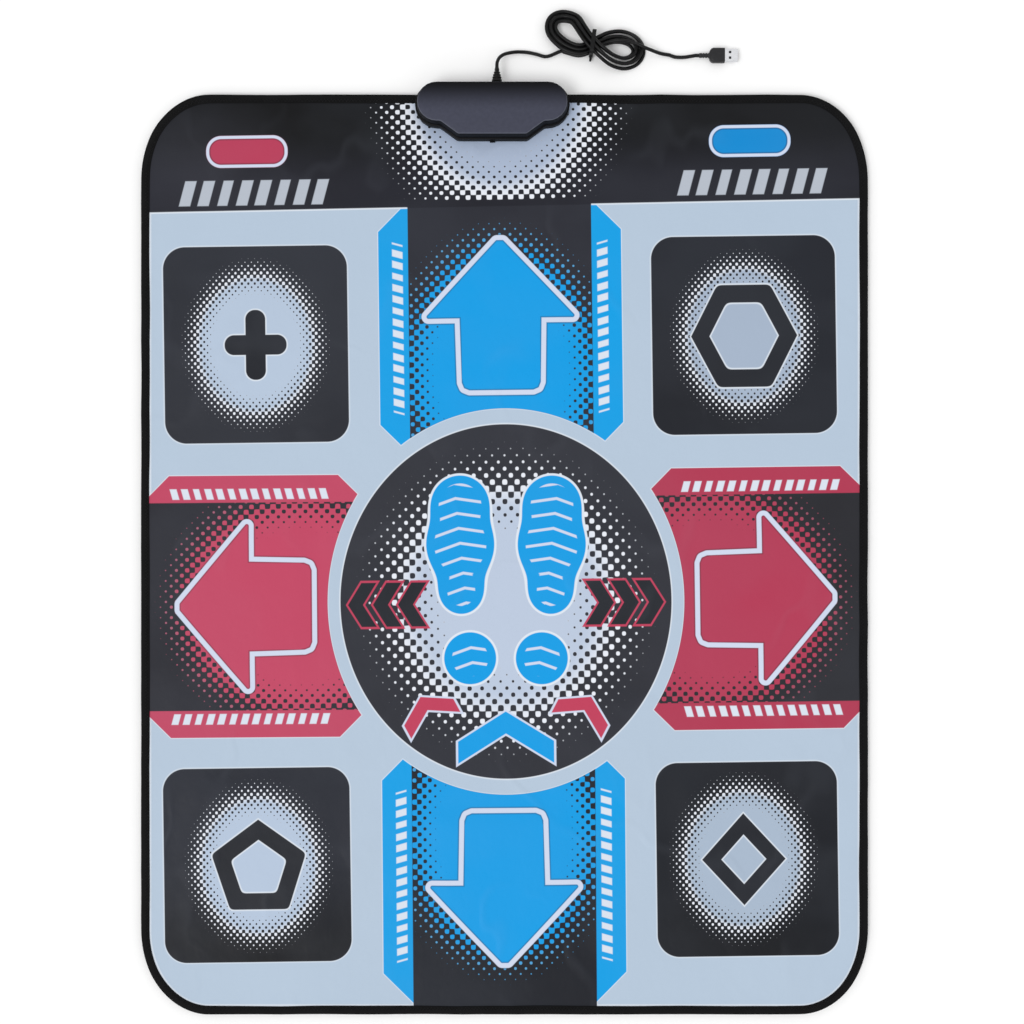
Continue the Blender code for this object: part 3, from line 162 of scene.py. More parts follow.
def set_floor():
    shape = bmesh.new()
    bmesh.ops.create_grid(shape, x_segments=1, y_segments=1, size=FLOOR_HALF)
    bmesh.ops.translate(shape, vec=(0, 0, -FLOOR_DROP), verts=shape.verts)
    ink = Ink("white floor")
    ink.start((255, 255, 255))
    floor = finish("floor", shape, ink.finish(0.9, 0.0))


# Surfaces that vary, written as arithmetic

def ink_colour(red, green, blue):
    """A colour given as it looks, from 0 to 255, as the linear light that a shader takes."""
    parts = []
    for part in (red, green, blue):
        share = part / 255
        parts.append(share / 12.92 if share <= 0.04045 else ((share + 0.055) / 1.055) ** 2.4)
    return (*parts, 1.0)


def feed(tree, value, slot):
    """Links a field or a node's output to a slot, or writes a plain value into it."""
    source = value.socket if isinstance(value, Field) else value
    if isinstance(source, bpy.types.NodeSocket):
        tree.links.new(source, slot)
    else:
        slot.default_value = source


class Field:
    """A number that varies over a surface. Arithmetic on it adds nodes to its material."""

    def __init__(self, tree, socket):
        self.tree = tree
        self.socket = socket

    def step(self, operation, *others, clamp=False):
        node = self.tree.nodes.new("ShaderNodeMath")
        node.operation = operation
        node.use_clamp = clamp
        for slot, value in zip(node.inputs, (self, *others)):
            feed(self.tree, value, slot)
        return Field(self.tree, node.outputs[0])

    __add__ = partialmethod(step, "ADD")
    __sub__ = partialmethod(step, "SUBTRACT")
    __mul__ = partialmethod(step, "MULTIPLY")
    __truediv__ = partialmethod(step, "DIVIDE")
    __neg__ = partialmethod(step, "MULTIPLY", -1)
    __rsub__ = partialmethod(step, "MULTIPLY_ADD", -1)
    __abs__ = partialmethod(step, "ABSOLUTE")
    least = partialmethod(step, "MINIMUM")
    most = partialmethod(step, "MAXIMUM")
    soft_least = partialmethod(step, "SMOOTH_MIN")
    soft_most = partialmethod(step, "SMOOTH_MAX")

    def fade(self, start, end):
        """1 before start, 0 past end, and smooth between them."""
        node = self.tree.nodes.new("ShaderNodeMapRange")
        node.interpolation_type = "SMOOTHSTEP"
        self.tree.links.new(self.socket, node.inputs["Value"])
        for slot, value in zip(("From Min", "From Max", "To Min", "To Max"), (start, end, 1, 0)):
            node.inputs[slot].default_value = value
        return Field(self.tree, node.outputs["Result"])


def hypot(x, y):
    return (x * x + y * y).step("SQRT")


def box_distance(x, y, half_x, half_y, corner):
    over_x = abs(x) - (half_x - corner)
    over_y = abs(y) - (half_y - corner)
    outside = hypot(over_x.most(0), over_y.most(0))
    return outside + over_x.most(over_y).least(0) - corner


def oval_distance(x, y, radius_x, radius_y):
    return (hypot(x / radius_x, y / radius_y) - 1) * min(radius_x, radius_y)


def inside(distance, soft=0.7):
    """1 where a distance is below nought."""
    return (distance / -soft).step("ADD", 0.5, clamp=True)


def line(distance, width, soft=0.7):
    """1 along the outline of a shape."""
    return inside(abs(distance) - width / 2, soft)


DOT_LEVEL = 1.13  # a little past the wave's ends, so that no dot is left and no gap
DOT_SOFTNESS = 0.22


def dots(x, y, pitch_x, pitch_y, cover):
    """Staggered dots whose size follows how much of the cloth they cover."""
    wave = (x * (math.tau / pitch_x)).step("COSINE") * (y * (math.tau / pitch_y)).step("COSINE")
    level = wave - DOT_LEVEL + cover * (2 * DOT_LEVEL)
    return (level / DOT_SOFTNESS).step("ADD", 0.5, clamp=True)


class Ink:
    """A material that is printed in layers, each laid over the ones before it."""

    def __init__(self, name):
        self.material = bpy.data.materials.new(name)
        self.material.use_nodes = True
        self.tree = self.material.node_tree
        self.shader = self.tree.nodes["Principled BSDF"]
        self.place = self.tree.nodes.new("ShaderNodeTexCoord").outputs["Object"]
        self.colour = None

    def link(self, start, end):
        self.tree.links.new(start, end)

    def start(self, colour):
        self.colour = ink_colour(*colour)

    def frame(self, middle, turn=0.0):
        """Millimetres across and up from a middle on the mat, in a frame turned by degrees."""
        node = self.tree.nodes.new("ShaderNodeMapping")
        node.vector_type = "TEXTURE"
        node.inputs["Location"].default_value = (middle[0] * MM, middle[1] * MM, 0)
        node.inputs["Rotation"].default_value = (0, 0, math.radians(turn))
        node.inputs["Scale"].default_value = (MM, MM, MM)
        self.link(self.place, node.inputs["Vector"])
        return self.split(node.outputs[0])[:2]

    def split(self, socket):
        """A place's three parts, as fields."""
        node = self.tree.nodes.new("ShaderNodeSeparateXYZ")
        self.link(socket, node.inputs[0])
        return [Field(self.tree, part) for part in node.outputs]

    def lay(self, mask, colour):
        """Lays a colour over what is there, as far as the mask says."""
        node = self.tree.nodes.new("ShaderNodeMix")
        node.data_type = "RGBA"
        under, over = [slot for slot in node.inputs if slot.type == "RGBA"]
        feed(self.tree, mask, node.inputs[0])
        feed(self.tree, self.colour, under)
        over.default_value = ink_colour(*colour)
        self.colour = [slot for slot in node.outputs if slot.type == "RGBA"][0]

    def noise(self, scale, detail, stretch=(1, 1, 1)):
        """Soft random variation round a half, with about so many lumps a metre."""
        node = self.tree.nodes.new("ShaderNodeTexNoise")
        node.inputs["Scale"].default_value = scale
        node.inputs["Detail"].default_value = detail
        place = self.place
        if stretch != (1, 1, 1):
            mapping = self.tree.nodes.new("ShaderNodeMapping")
            mapping.inputs["Scale"].default_value = stretch
            self.link(self.place, mapping.inputs["Vector"])
            place = mapping.outputs[0]
        self.link(place, node.inputs["Vector"])
        return Field(self.tree, node.outputs[0])

    def bump(self, height, depth, strength):
        """Adds relief of a depth in metres to what is there."""
        node = self.tree.nodes.new("ShaderNodeBump")
        node.inputs["Distance"].default_value = depth
        node.inputs["Strength"].default_value = strength
        self.link(height.socket, node.inputs["Height"])
        before = self.shader.inputs["Normal"].links
        if before:
            self.link(before[0].from_socket, node.inputs["Normal"])
        self.link(node.outputs[0], self.shader.inputs["Normal"])

    def finish(self, roughness, specular):
        feed(self.tree, self.colour, self.shader.inputs["Base Color"])
        feed(self.tree, roughness, self.shader.inputs["Roughness"])
        self.shader.inputs["Specular IOR Level"].default_value = specular
        return self.material


# The printed pattern. Its sizes are in millimetres and its turns in degrees, as it lies on the mat

FIELD = (180, 197, 215)
LIGHT = (186, 199, 219)
HEAD_LIGHT = (171, 185, 208)
DOT_LIGHT = (232, 236, 244)
DARK = (30, 31, 37)
BAND_DARK = (28, 28, 36)
BAND_DEEP = (2, 2, 3)
BAND_SHEEN = (70, 70, 80)
DISC_DARK = (43, 44, 51)
TILE_DARK = (30, 32, 38)
# painted shade, laid over the lower part of some corner tiles
TILE_PAINTED_SHADE = (10, 10, 12)
BLUE = (4, 155, 226)
BLUE_BAR = (6, 157, 226)
RED = (190, 62, 90)
STROKE = (206, 215, 235)
ROW_GREY = (180, 187, 198)
ROW_LIGHT = (216, 224, 236)
EDGE_LIGHT = (222, 229, 238)

# Half the printed part of the cloth, up to its corners, and the radii of those corners
EDGE_STRAIGHT = (295.5, 376.0)
EDGE_CORNER = (57.8, 73.8)
EDGE_STRENGTH = 0.8
DISC_MIDDLE = (1.5, -47.0)
DISC_RADII = (165.6, 177.3)
RING_RADII = (178.5, 193.3)
REGION_RADII = (172.0, 185.3)


# A burst's squeeze, the radii it fades between, its pitches, and the cover that is its middle
HEAD_BURST = (0.86, (49, 144), (10.65, 10.2), (0.78, 0.5))
CORNER_BURST = (0.855, (36, 79.5), (6.4, 7.2), (0.64, 0.38))
DISC_BURST = (0.94, (46, 160), (12.4, 13.3), (0.75, 0.35))


def paint_burst(ink, x, y, squeeze, fade, pitch, glow, area, centre):
    """A burst of light dots over the dark cloth, within an area. It is whitest where it ends."""
    cover = hypot(x, y * squeeze).fade(*fade)
    shape = dots(x, y, *pitch, cover) * area
    ink.lay(shape, DOT_LIGHT)
    ink.lay(cover.fade(*glow) * shape, centre)


def paint_edge(ink):
    """A pale strip of the cloth along the binding."""
    x, y = ink.frame((0, 0))
    over_x = (abs(x) - EDGE_STRAIGHT[0]) / EDGE_CORNER[0]
    over_y = (abs(y) - EDGE_STRAIGHT[1]) / EDGE_CORNER[1]
    edge = (hypot(over_x.most(0), over_y.most(0)) - 1) * EDGE_CORNER[0]
    ink.lay(inside(-edge, 1.0) * EDGE_STRENGTH, EDGE_LIGHT)


SLANT = 0.28
SLANT_HALF_BAR = 0.25  # half of a bar's share of its pitch, where it is narrowest
SLANT_SWELL = 0.14  # how much wider the bars get away from the middle of each three


def paint_slants(ink, x, y, half_length, height, pitch, colour):
    """A plain row of slanted bars, whose widths vary a little in threes."""
    lean = x - y * SLANT
    wave = (lean / pitch).step("FRACT")
    long_wave = (lean / (pitch * 3)).step("FRACT")
    gap = abs(wave - 0.5) - SLANT_HALF_BAR - abs(long_wave - 0.5) * SLANT_SWELL
    row = (abs(y) - height / 2).most(gap * pitch).most(abs(lean) - half_length)
    ink.lay(inside(row, 0.9), colour)


HEAD_LINE = (0, 348.4)  # the middle of the dark band's lower edge
HEAD_TURN = 1.15
BAND_DEEPENS = (78, 20)  # darkest above the first, and as printed below the second
BAND_DEPTH = 0.95
SHEEN_MIDDLE = (-310, 50)
SHEEN_FLATNESS = 1.6
SHEEN_FADE = (10, 130)
SHEEN_STRENGTH = 0.22
UP_TILE_MIDDLE = -5.3  # where the up tile meets the band, on the band's own line
UP_TILE_HALF = 92
HEAD_BURST_MIDDLE = (-6.5, 469.5)
HEAD_BURST_TURN = 1.0
HEAD_BURST_FOOT = -114.5
SMALL_TURN = 0.9
PILL = (40.8, 16, 15)  # half its width, half its height and its corner
SMALL_PRINTS = (  # a small zone's middle, its colour and its row's middle
    ((-257.6, 402.9), (180, 60, 88), (-250.5, 361.7)),
    ((245.2, 413.7), (6, 136, 207), (247.8, 372.7)),
)


def paint_head(ink):
    """The dark band at the head, its burst behind the control box, and the two small zones."""
    x, y = ink.frame(HEAD_LINE, HEAD_TURN)
    ink.lay(inside(-y), BAND_DARK)
    ink.lay(y.fade(*BAND_DEEPENS) * BAND_DEPTH, BAND_DEEP)
    sheen_x = x - SHEEN_MIDDLE[0]
    sheen_y = (y - SHEEN_MIDDLE[1]) * SHEEN_FLATNESS
    sheen = hypot(sheen_x, sheen_y).fade(*SHEEN_FADE) * inside(-y)
    ink.lay(sheen * SHEEN_STRENGTH, BAND_SHEEN)
    beside_tile = inside(-abs(x - UP_TILE_MIDDLE) + UP_TILE_HALF)
    ink.lay(line(y, 1.4, 1.0) * beside_tile, EDGE_LIGHT)
    x, y = ink.frame(HEAD_BURST_MIDDLE, HEAD_BURST_TURN)
    paint_burst(ink, x, y, *HEAD_BURST, inside(-y + HEAD_BURST_FOOT), HEAD_LIGHT)
    for middle, colour, row in SMALL_PRINTS:
        x, y = ink.frame(middle, SMALL_TURN)
        pill = box_distance(x, y, *PILL)
        ink.lay(inside(pill), colour)
        ink.lay(line(pill + 3.6, 1.6, 1.0) * 0.5, DARK)
        ink.lay(line(pill + 1.6, 3.0), STROKE)
        x, y = ink.frame(row, SMALL_TURN)
        paint_slants(ink, x, y, 73, 25, 19, ROW_GREY)


def stroke_distance(x, y, start, end):
    """How far a point is from a straight stroke."""
    run_x = end[0] - start[0]
    run_y = end[1] - start[1]
    length = math.hypot(run_x, run_y)
    from_x = x - (start[0] + end[0]) / 2
    from_y = y - (start[1] + end[1]) / 2
    along = abs(from_x * (run_x / length) + from_y * (run_y / length)) - length / 2
    across = from_x * (run_y / length) - from_y * (run_x / length)
    return hypot(along.most(0), across)


ARROW_CORNER = 4.5
ARROW_TIP = 2.6
ARROW_TAPER = 1.5  # by which the shaft narrows towards its heel
ARROW_HEEL = 6.0
HEEL_BEND = 0.29  # how far in the middle of the rounded heel lies
HEEL_SIDE = (0.93, 0.38)  # the way that the heel's two slopes face
DIAGONAL = 0.71


def arrow_distance(x, y, tip, base, half_head, half_shaft, start):
    """A rounded arrow that points along y. Below nought inside."""
    across = abs(x)
    top = tip - ARROW_CORNER
    low = base + ARROW_CORNER
    wide = half_head - ARROW_CORNER
    shaft = half_shaft - ARROW_CORNER
    end = start + ARROW_CORNER
    side = shaft - ARROW_TAPER
    heel = ARROW_HEEL * HEEL_BEND
    stations = (
        (0, top), (ARROW_TIP, top), (wide, low), (shaft, low), (side, end + ARROW_HEEL),
        (side - heel, end + heel), (side - ARROW_HEEL, end), (0, end),
    )
    rim = stroke_distance(across, y, stations[0], stations[1])
    for one, two in zip(stations[1:], stations[2:]):
        rim = rim.least(stroke_distance(across, y, one, two))
    lean = math.atan2(wide - ARROW_TIP, top - low)
    slope = (y - top) * math.sin(lean) + (across - ARROW_TIP) * math.cos(lean)
    head = slope.most(y - top).most(-y + low)
    much, little = HEEL_SIDE
    body = (across - shaft).most(y - low).most(-y + end)
    body = body.most((across - side) * much - (y - end - ARROW_HEEL) * little)
    body = body.most((across - side + ARROW_HEEL) * little - (y - end) * much)
    within = inside(head.least(body), 0.05)
    return rim * (within * -2 + 1) - ARROW_CORNER


ROW_HEIGHT = 10.5
ROW_PITCH = 11.5
HALO_FADE = (0.68, 1.42)  # as shares of the halo's radii
FAR_DOTS = (0.1, 0.42)  # the cover over which the dots take their far colour


def paint_arrow_tile(ink, middle, turn, dark, colours, sizes):
    """A dark tile between two bars, with an arrow that points outwards on fading dots."""
    colour, bar_colour, far_colour = colours
    x, y = ink.frame(middle, turn)
    across = abs(x)
    slope = across - sizes["outer"]
    far_cut = (slope + y - sizes["far"]) * DIAGONAL
    near_cut = (slope - y + sizes["near"]) * DIAGONAL
    bars = slope.most(far_cut).most(near_cut)
    ground = across - sizes["inner"]
    ring_x, ring_y = ink.frame(DISC_MIDDLE)
    clear = -oval_distance(ring_x, ring_y, *RING_RADII)
    bars = bars.most(clear).most(-y)
    ground = ground.most(clear).most(-y)
    ink.lay(line(bars.least(ground), 1.3, 1.0), EDGE_LIGHT)
    ink.lay(inside(bars), bar_colour)
    ink.lay(inside(ground), dark)
    halo_x, halo_y = sizes["halo"]
    cover = hypot(x / halo_x, (y - sizes["halo_middle"]) / halo_y).fade(*HALO_FADE)
    shape = dots(x, y, 10.5, 10.8, cover) * inside(ground)
    ink.lay(shape, colour)
    ink.lay(shape * cover.fade(*FAR_DOTS), far_colour)
    row_across, row_along = sizes["row"]
    for side in (-1, 1):
        row_x = y - row_along
        row_y = x * side - row_across
        paint_slants(ink, row_x, row_y, sizes["half_row"], ROW_HEIGHT, ROW_PITCH, ROW_LIGHT)
    arrow = arrow_distance(x, y, **sizes["arrow"])
    ink.lay(inside(arrow), colour)
    ink.lay(line(arrow, 7.4, 1.0) * 0.45, DARK)
    ink.lay(line(arrow, 4.9), STROKE)


# The colours of an arrow, of the bars beside it and of the dots furthest from it
BLUES = (BLUE, BLUE_BAR, (96, 160, 202))
REDS = ((192, 69, 98), (190, 70, 98), (158, 100, 120))
RIGHT_REDS = ((176, 58, 85), (174, 55, 81), (142, 84, 102))

# A tile's sizes go outwards from the disc's middle, or sideways from the tile's middle line
UPRIGHT = {
    "arrow": {"tip": 364, "base": 281, "half_head": 76.5, "half_shaft": 43.5, "start": 209},
    "inner": 91.8, "outer": 121.5, "near": 178, "far": 371,
    "halo": (86, 112), "halo_middle": 231, "row": (102.5, 274), "half_row": 85,
}
SIDEWAYS = {
    "arrow": {"tip": 329, "base": 254, "half_head": 85, "half_shaft": 47.5, "start": 191.5},
    "inner": 104, "outer": 131, "near": 167, "far": 336,
    "halo": (99, 108), "halo_middle": 205, "row": (112.5, 256), "half_row": 78,
}
ARROW_TILES = {
    "up": ((-0.5, -47.0), 0.7, (38, 39, 47), BLUES, UPRIGHT),
    "down": ((-2.4, -47.0), 180.45, (25, 27, 34), BLUES, UPRIGHT),
    "left": ((1.5, -50.0), 90.45, (38, 38, 45), REDS, SIDEWAYS),
    "right": ((1.5, -47.1), -89.2, (38, 38, 43), RIGHT_REDS, SIDEWAYS),
}


def plus_shape(x, y):
    return box_distance(x, y, 31, 10, 9.5).least(box_distance(x, y, 10, 35, 9.5))


def hexagon_shape(x, y):
    wide = abs(x)
    tall = abs(y * 0.9)
    ring = (wide * 0.866 + tall * 0.5).soft_most(tall, 6) - 38
    return abs(ring) - 8


def pentagon_shape(x, y):
    wide = abs(x)
    low = -y - 3
    side = wide * 0.951 - (y + 3) * 0.309
    top = wide * 0.588 + (y + 3) * 0.809
    return abs(low.soft_most(side, 6).soft_most(top, 6) - 32) - 8.2


def diamond_shape(x, y):
    ring = (abs(x) * 1.1 + abs(y)).soft_most(abs(x) - 60, 4) * 0.707 - 25
    return abs(ring) - 7.5


# A corner tile's middle, half its size, its burst's middle, its shape, dark, pale and painted shade
CORNER_TILES = {
    "upper_left": (
        (-248.5, 210), (92, 98.3), (-248.7, 209.5),
        plus_shape, (39, 41, 48), (180, 196, 216), 0,
    ),
    "upper_right": (
        (239.5, 219.5), (92, 99), (239.5, 218.5),
        hexagon_shape, (29, 31, 38), (164, 179, 199), 0.2,
    ),
    "lower_left": (
        (-247.2, -310.5), (93.3, 97), (-245.5, -311.5),
        pentagon_shape, (34, 36, 44), (180, 196, 217), 0.85,
    ),
    "lower_right": (
        (242.8, -304.5), (90.7, 97), (239.2, -304.5),
        diamond_shape, (22, 24, 30), (167, 183, 202), 0.5,
    ),
}
CORNER_TURN = 0.8
CORNER_ROUNDING = 22
CORNER_SHADE = (-95, 20)  # painted shade below the first, and as printed above the second


def paint_corner_tile(ink, middle, half, centre, shape, dark, pale, shade):
    """A dark tile with a light burst of fine dots round a plain dark shape, and painted shade
    towards its lower edge.
    """
    x, y = ink.frame(middle, CORNER_TURN)
    tile = box_distance(x, y, *half, CORNER_ROUNDING)
    ink.lay(line(tile, 2.2, 1.2) * 0.75, EDGE_LIGHT)
    ink.lay(inside(tile), dark)
    # painted shade: the tile darkens towards its lower edge, as far as its shade says
    ink.lay(inside(tile) * y.fade(*CORNER_SHADE) * shade, TILE_PAINTED_SHADE)
    x, y = ink.frame(centre, CORNER_TURN)
    paint_burst(ink, x, y, *CORNER_BURST, inside(tile + 2), pale)
    motif = shape(x, y)
    ink.lay(inside(motif - 1.2, 1.2), EDGE_LIGHT)
    ink.lay(inside(motif), TILE_DARK)


SOLE_BALL = (36, 34)  # how far up it lies, and its radius
# How far across and up each further round of a sole lies, its radius and its blend
SOLE_ROUNDS = ((-4, 76, 29, 30), (4, -12, 21, 44), (2, -78, 26, 8))
SOLE_RIB_PITCH = 15
SOLE_RIB_SLOPE = 0.25


def paint_sole(ink, middle, turn, side, colour):
    """The print of a plain shoe sole: a fore part and a heel, with bent ribs across them."""
    x, y = ink.frame(middle, turn)
    sole = hypot(x, y - SOLE_BALL[0]) - SOLE_BALL[1]
    for across, up, radius, blend in SOLE_ROUNDS:
        sole = sole.soft_least(hypot(x - across * side, y - up) - radius, blend)
    ink.lay(inside(sole - 2.2), EDGE_LIGHT)
    ink.lay(inside(sole), colour)
    wave = ((y + abs(x) * SOLE_RIB_SLOPE) / SOLE_RIB_PITCH).step("FRACT")
    ribs = abs(wave - 0.5) * SOLE_RIB_PITCH - 1.4
    ink.lay(inside(ribs.most(sole + 8)), STROKE)


CHEVRON_SLOPE = 0.62


def paint_chevrons(ink, x, y, height, thick, pitch, count, colours):
    """A plain row of chevrons that point along x from the start, each with a bright rim."""
    bent = x + abs(y) * CHEVRON_SLOPE
    place = (bent / pitch).step("FRACT") * pitch - pitch / 2
    band = abs(place) - thick / 2
    row = (abs(y) - height / 2).most(-bent + 2).most(bent - pitch * count + 2)
    chevron = band.most(row)
    ink.lay(inside(chevron - 2.2), colours[0])
    ink.lay(inside(chevron), colours[1])


DISC_TURN = 0.6
DISC_CHEVRONS = {"height": 44, "thick": 15, "pitch": 25, "count": 3}
FOOT_CHEVRON = {"height": 96, "thick": 22, "pitch": 30, "count": 1}
SIDE_CHEVRON = {"height": 56, "thick": 15, "pitch": 25, "count": 1}
SIDE_CHEVRON_SPLAY = 28


def paint_disc(ink):
    """The dark disc in the middle, with its burst and a plain motif of steps on it."""
    x, y = ink.frame(DISC_MIDDLE, DISC_TURN)
    disc = oval_distance(x, y, *DISC_RADII)
    ink.lay(line(disc, 2.2, 1.2), EDGE_LIGHT)
    ink.lay(inside(disc), DISC_DARK)
    paint_burst(ink, x, y, *DISC_BURST, inside(disc + 2), LIGHT)
    middle_x, middle_y = DISC_MIDDLE
    upwards = 90 + DISC_TURN
    for side in (-1, 1):
        paint_sole(ink, (middle_x + 42 * side, middle_y + 21), -6 * side, side, BLUE)
        x, y = ink.frame((middle_x, middle_y - 2), DISC_TURN)
        paint_chevrons(ink, x * side - 88, y, **DISC_CHEVRONS, colours=(RED, TILE_DARK))
    x, y = ink.frame((middle_x, middle_y - 136), upwards)
    paint_chevrons(ink, x, y, **FOOT_CHEVRON, colours=(STROKE, BLUE))
    for side in (-1, 1):
        place = (middle_x + 76 * side, middle_y - 113)
        x, y = ink.frame(place, upwards - SIDE_CHEVRON_SPLAY * side)
        paint_chevrons(ink, x, y, **SIDE_CHEVRON, colours=(STROKE, RED))


HEAD_REGION_FOOT = 332
UPRIGHT_REGION = (-5, 137)  # its middle and half its width
SIDEWAYS_REGION = 145  # half its height


def region_of(x, y):
    """The part of the pattern that a face of the cover lies in, by its middle in millimetres."""
    over_x = (x - DISC_MIDDLE[0]) / REGION_RADII[0]
    over_y = (y - DISC_MIDDLE[1]) / REGION_RADII[1]
    if over_x * over_x + over_y * over_y < 1:
        return "disc"
    if y > HEAD_REGION_FOOT:
        return "head"
    if abs(x - UPRIGHT_REGION[0]) < UPRIGHT_REGION[1]:
        return "up" if y > DISC_MIDDLE[1] else "down"
    if abs(y - DISC_MIDDLE[1]) < SIDEWAYS_REGION:
        return "left" if x < 0 else "right"
    return ("upper" if y > 0 else "lower") + ("_left" if x < 0 else "_right")


WEAVE_PITCH = 0.9


def cloth_finish_and_painted_sheen(ink):
    """Satin coated cloth: a fine weave, broken creases, small ripples and a low uneven sheen, the
    sheen painted into the colour as lighter patches, lighter crease lines and a faint bluish haze.
    """
    crease_and_sheen = abs(ink.noise(6.5, 3.0, (1.0, 0.75, 1.0)) - 0.5).fade(0.0, 0.03)
    crease_and_sheen = crease_and_sheen * ink.noise(9, 1).fade(0.62, 0.42)
    sheen = ink.noise(12, 3, (0.6, 1.0, 1.0)).fade(0.60, 0.36)
    # painted sheen: lighter patches, and lighter lines along the creases, which are bumped as well
    ink.lay(sheen * 0.016 + crease_and_sheen * 0.02, (150, 156, 170))
    # painted sheen: a faint bluish haze in broad patches
    ink.lay(ink.noise(5, 3).fade(0.35, 0.7) * 0.024, (112, 124, 142))
    ink.bump(crease_and_sheen, 0.5 * MM, 0.8)
    ink.bump(ink.noise(34, 3, (1.0, 0.7, 1.0)), 1.2 * MM, 0.7)
    ink.bump(ink.noise(150, 3), 0.3 * MM, 0.5)
    x, y = ink.frame((0, 0))
    threads = math.tau / WEAVE_PITCH
    weave = (x * threads).step("SINE") * (y * threads).step("SINE")
    ink.bump(weave, 0.02 * MM, 0.5)
    return ink.finish(ink.noise(60, 2) * 0.16 + 0.40, 0.14)


def make_prints():
    """One printed material for each region of the pattern."""
    prints = {}
    for region in REGIONS:
        ink = Ink(f"printed cloth {region.replace('_', ' ')}")
        ink.start(FIELD)
        paint_edge(ink)
        if region == "disc":
            paint_disc(ink)
        elif region in CORNER_TILES:
            paint_corner_tile(ink, *CORNER_TILES[region])
        else:
            paint_arrow_tile(ink, *ARROW_TILES["up" if region == "head" else region])
        if region == "head":
            paint_head(ink)
        prints[region] = cloth_finish_and_painted_sheen(ink)
    return prints


# Other materials

MOTTLE_SCALE = 0.12  # the mottling's lumps a metre, as a share of the relief's
GLOSS_SCALE = 0.3  # and the gloss's


def speckled(name, colour, other, scale, amount, roughness, depth, specular=0.5, metal=0.0):
    """A finish mottled from one colour towards another, with a relief in millimetres."""
    ink = Ink(name)
    ink.start(colour)
    ink.lay(ink.noise(scale * MOTTLE_SCALE, 4).fade(0.72, 0.3) * amount, other)
    ink.bump(ink.noise(scale, 3), depth * MM, 0.5)
    ink.shader.inputs["Metallic"].default_value = metal
    return ink.finish(ink.noise(scale * GLOSS_SCALE, 2) * 0.2 + roughness, specular)


def make_materials():
    """Each look: its name, two colours, scale, amount, roughness, depth, specular and metal."""
    looks = {
        "shell": ("black moulded plastic", (7, 7, 9), (14, 14, 17), 2400, 0.6, 0.4, 0.05, 0.1),
        "rubber": ("black cord jacket", (5, 5, 6), (10, 10, 11), 1500, 0.6, 0.28, 0.02, 0.2),
        "plug": ("black plug moulding", (20, 20, 23), (30, 30, 34), 2400, 0.6, 0.32, 0.04, 0.32),
        "thread": ("black stitching thread", (16, 16, 18), (26, 26, 29), 3000, 0.6, 0.6, 0.02, 0.2),
        "backing": ("dark anti-slip backing", (38, 38, 42), (50, 50, 55), 900, 0.6, 0.75, 0.4, 0.2),
        "film": ("clear grey film", (176, 184, 196), (160, 168, 180), 200, 0.3, 0.25, 0.02),
        "foam": ("white spacer foam", (226, 226, 220), (205, 205, 198), 1200, 0.5, 0.85, 0.2, 0.2),
        "carbon": ("printed carbon", (28, 28, 28), (40, 40, 40), 900, 0.5, 0.5, 0.01),
        "board": ("green circuit board", (30, 92, 52), (40, 112, 64), 700, 0.5, 0.35, 0.02),
        "chip": ("black chip resin", (26, 26, 27), (36, 36, 38), 2000, 0.5, 0.5, 0.01),
        "nylon": ("white nylon", (228, 226, 216), (214, 212, 202), 600, 0.4, 0.4, 0.01),
        "zinc": (
            "zinc plated steel", (176, 178, 182), (150, 152, 158), 900, 0.5, 0.3, 0.01, 0.5, 1.0,
        ),
        "steel": (
            "bright plug steel", (222, 223, 226), (190, 192, 198), 700, 0.4, 0.18, 0.005, 0.5, 1.0,
        ),
    }
    made = {key: speckled(*look) for key, look in looks.items()}
    made["slate"] = box_top_material()
    made["tape"] = tape_material()
    return made


# Heights on the box's upper shell, and places along the mat, in millimetres
BOX_TOP_STARTS = (26.4, 25.6)
BOX_LIP = 26.2
# painted shade on the top: full behind the first, none in front of the second
BOX_REAR_SHADE = (467, 437)
# painted highlight on the lip: full in front of the first, none behind the second
BOX_LIP_HIGHLIGHT = (446, 458)


def box_top_material():
    """Moulded plastic, darker on the walls and along the rear than on the top: the slate top is
    partly its own colour and partly painted sheen, the darker walls and rear are painted shade, and
    a painted highlight runs along the front of the lip.
    """
    ink = Ink("slate moulded plastic")
    ink.start((5, 5, 8))
    y, z = [part / MM for part in ink.split(ink.place)[1:]]
    top = z.fade(*BOX_TOP_STARTS)
    # the top laid slate over near-black walls: partly the plastic's own colour, partly painted
    # sheen on the top and painted shade on the walls
    ink.lay(top, (69, 71, 85))
    # painted shade: the top darkens towards the rear
    ink.lay(top * y.fade(*BOX_REAR_SHADE), (12, 12, 15))
    # painted highlight: a light line along the front of the lip
    ink.lay(inside(abs(z - BOX_LIP) - 0.3, 0.5) * y.fade(*BOX_LIP_HIGHLIGHT), (96, 99, 111))
    ink.lay(ink.noise(300, 4).fade(0.72, 0.3) * 0.12, (30, 31, 36))
    ink.bump(ink.noise(2600, 3), 0.04 * MM, 0.4)
    return ink.finish(ink.noise(700, 2) * 0.2 + 0.36, 0.08)


RIB_PITCH = 1.1


def tape_material():
    """Black binding tape with a fine slanted rib."""
    ink = Ink("black binding tape")
    ink.start((8, 8, 9))
    ink.lay(ink.noise(60, 4).fade(0.75, 0.35) * 0.6, (15, 15, 17))
    x, y = ink.frame((0, 0), 45)
    turns = math.tau / RIB_PITCH
    ribs = (x * turns).step("SINE") * (y * turns).step("SINE")
    ink.bump(ribs, 0.08 * MM, 0.6)
    ink.bump(ink.noise(120, 2), 0.5 * MM, 0.4)
    return ink.finish(0.8, 0.14)


# Making pieces

SHARP = math.radians(40)


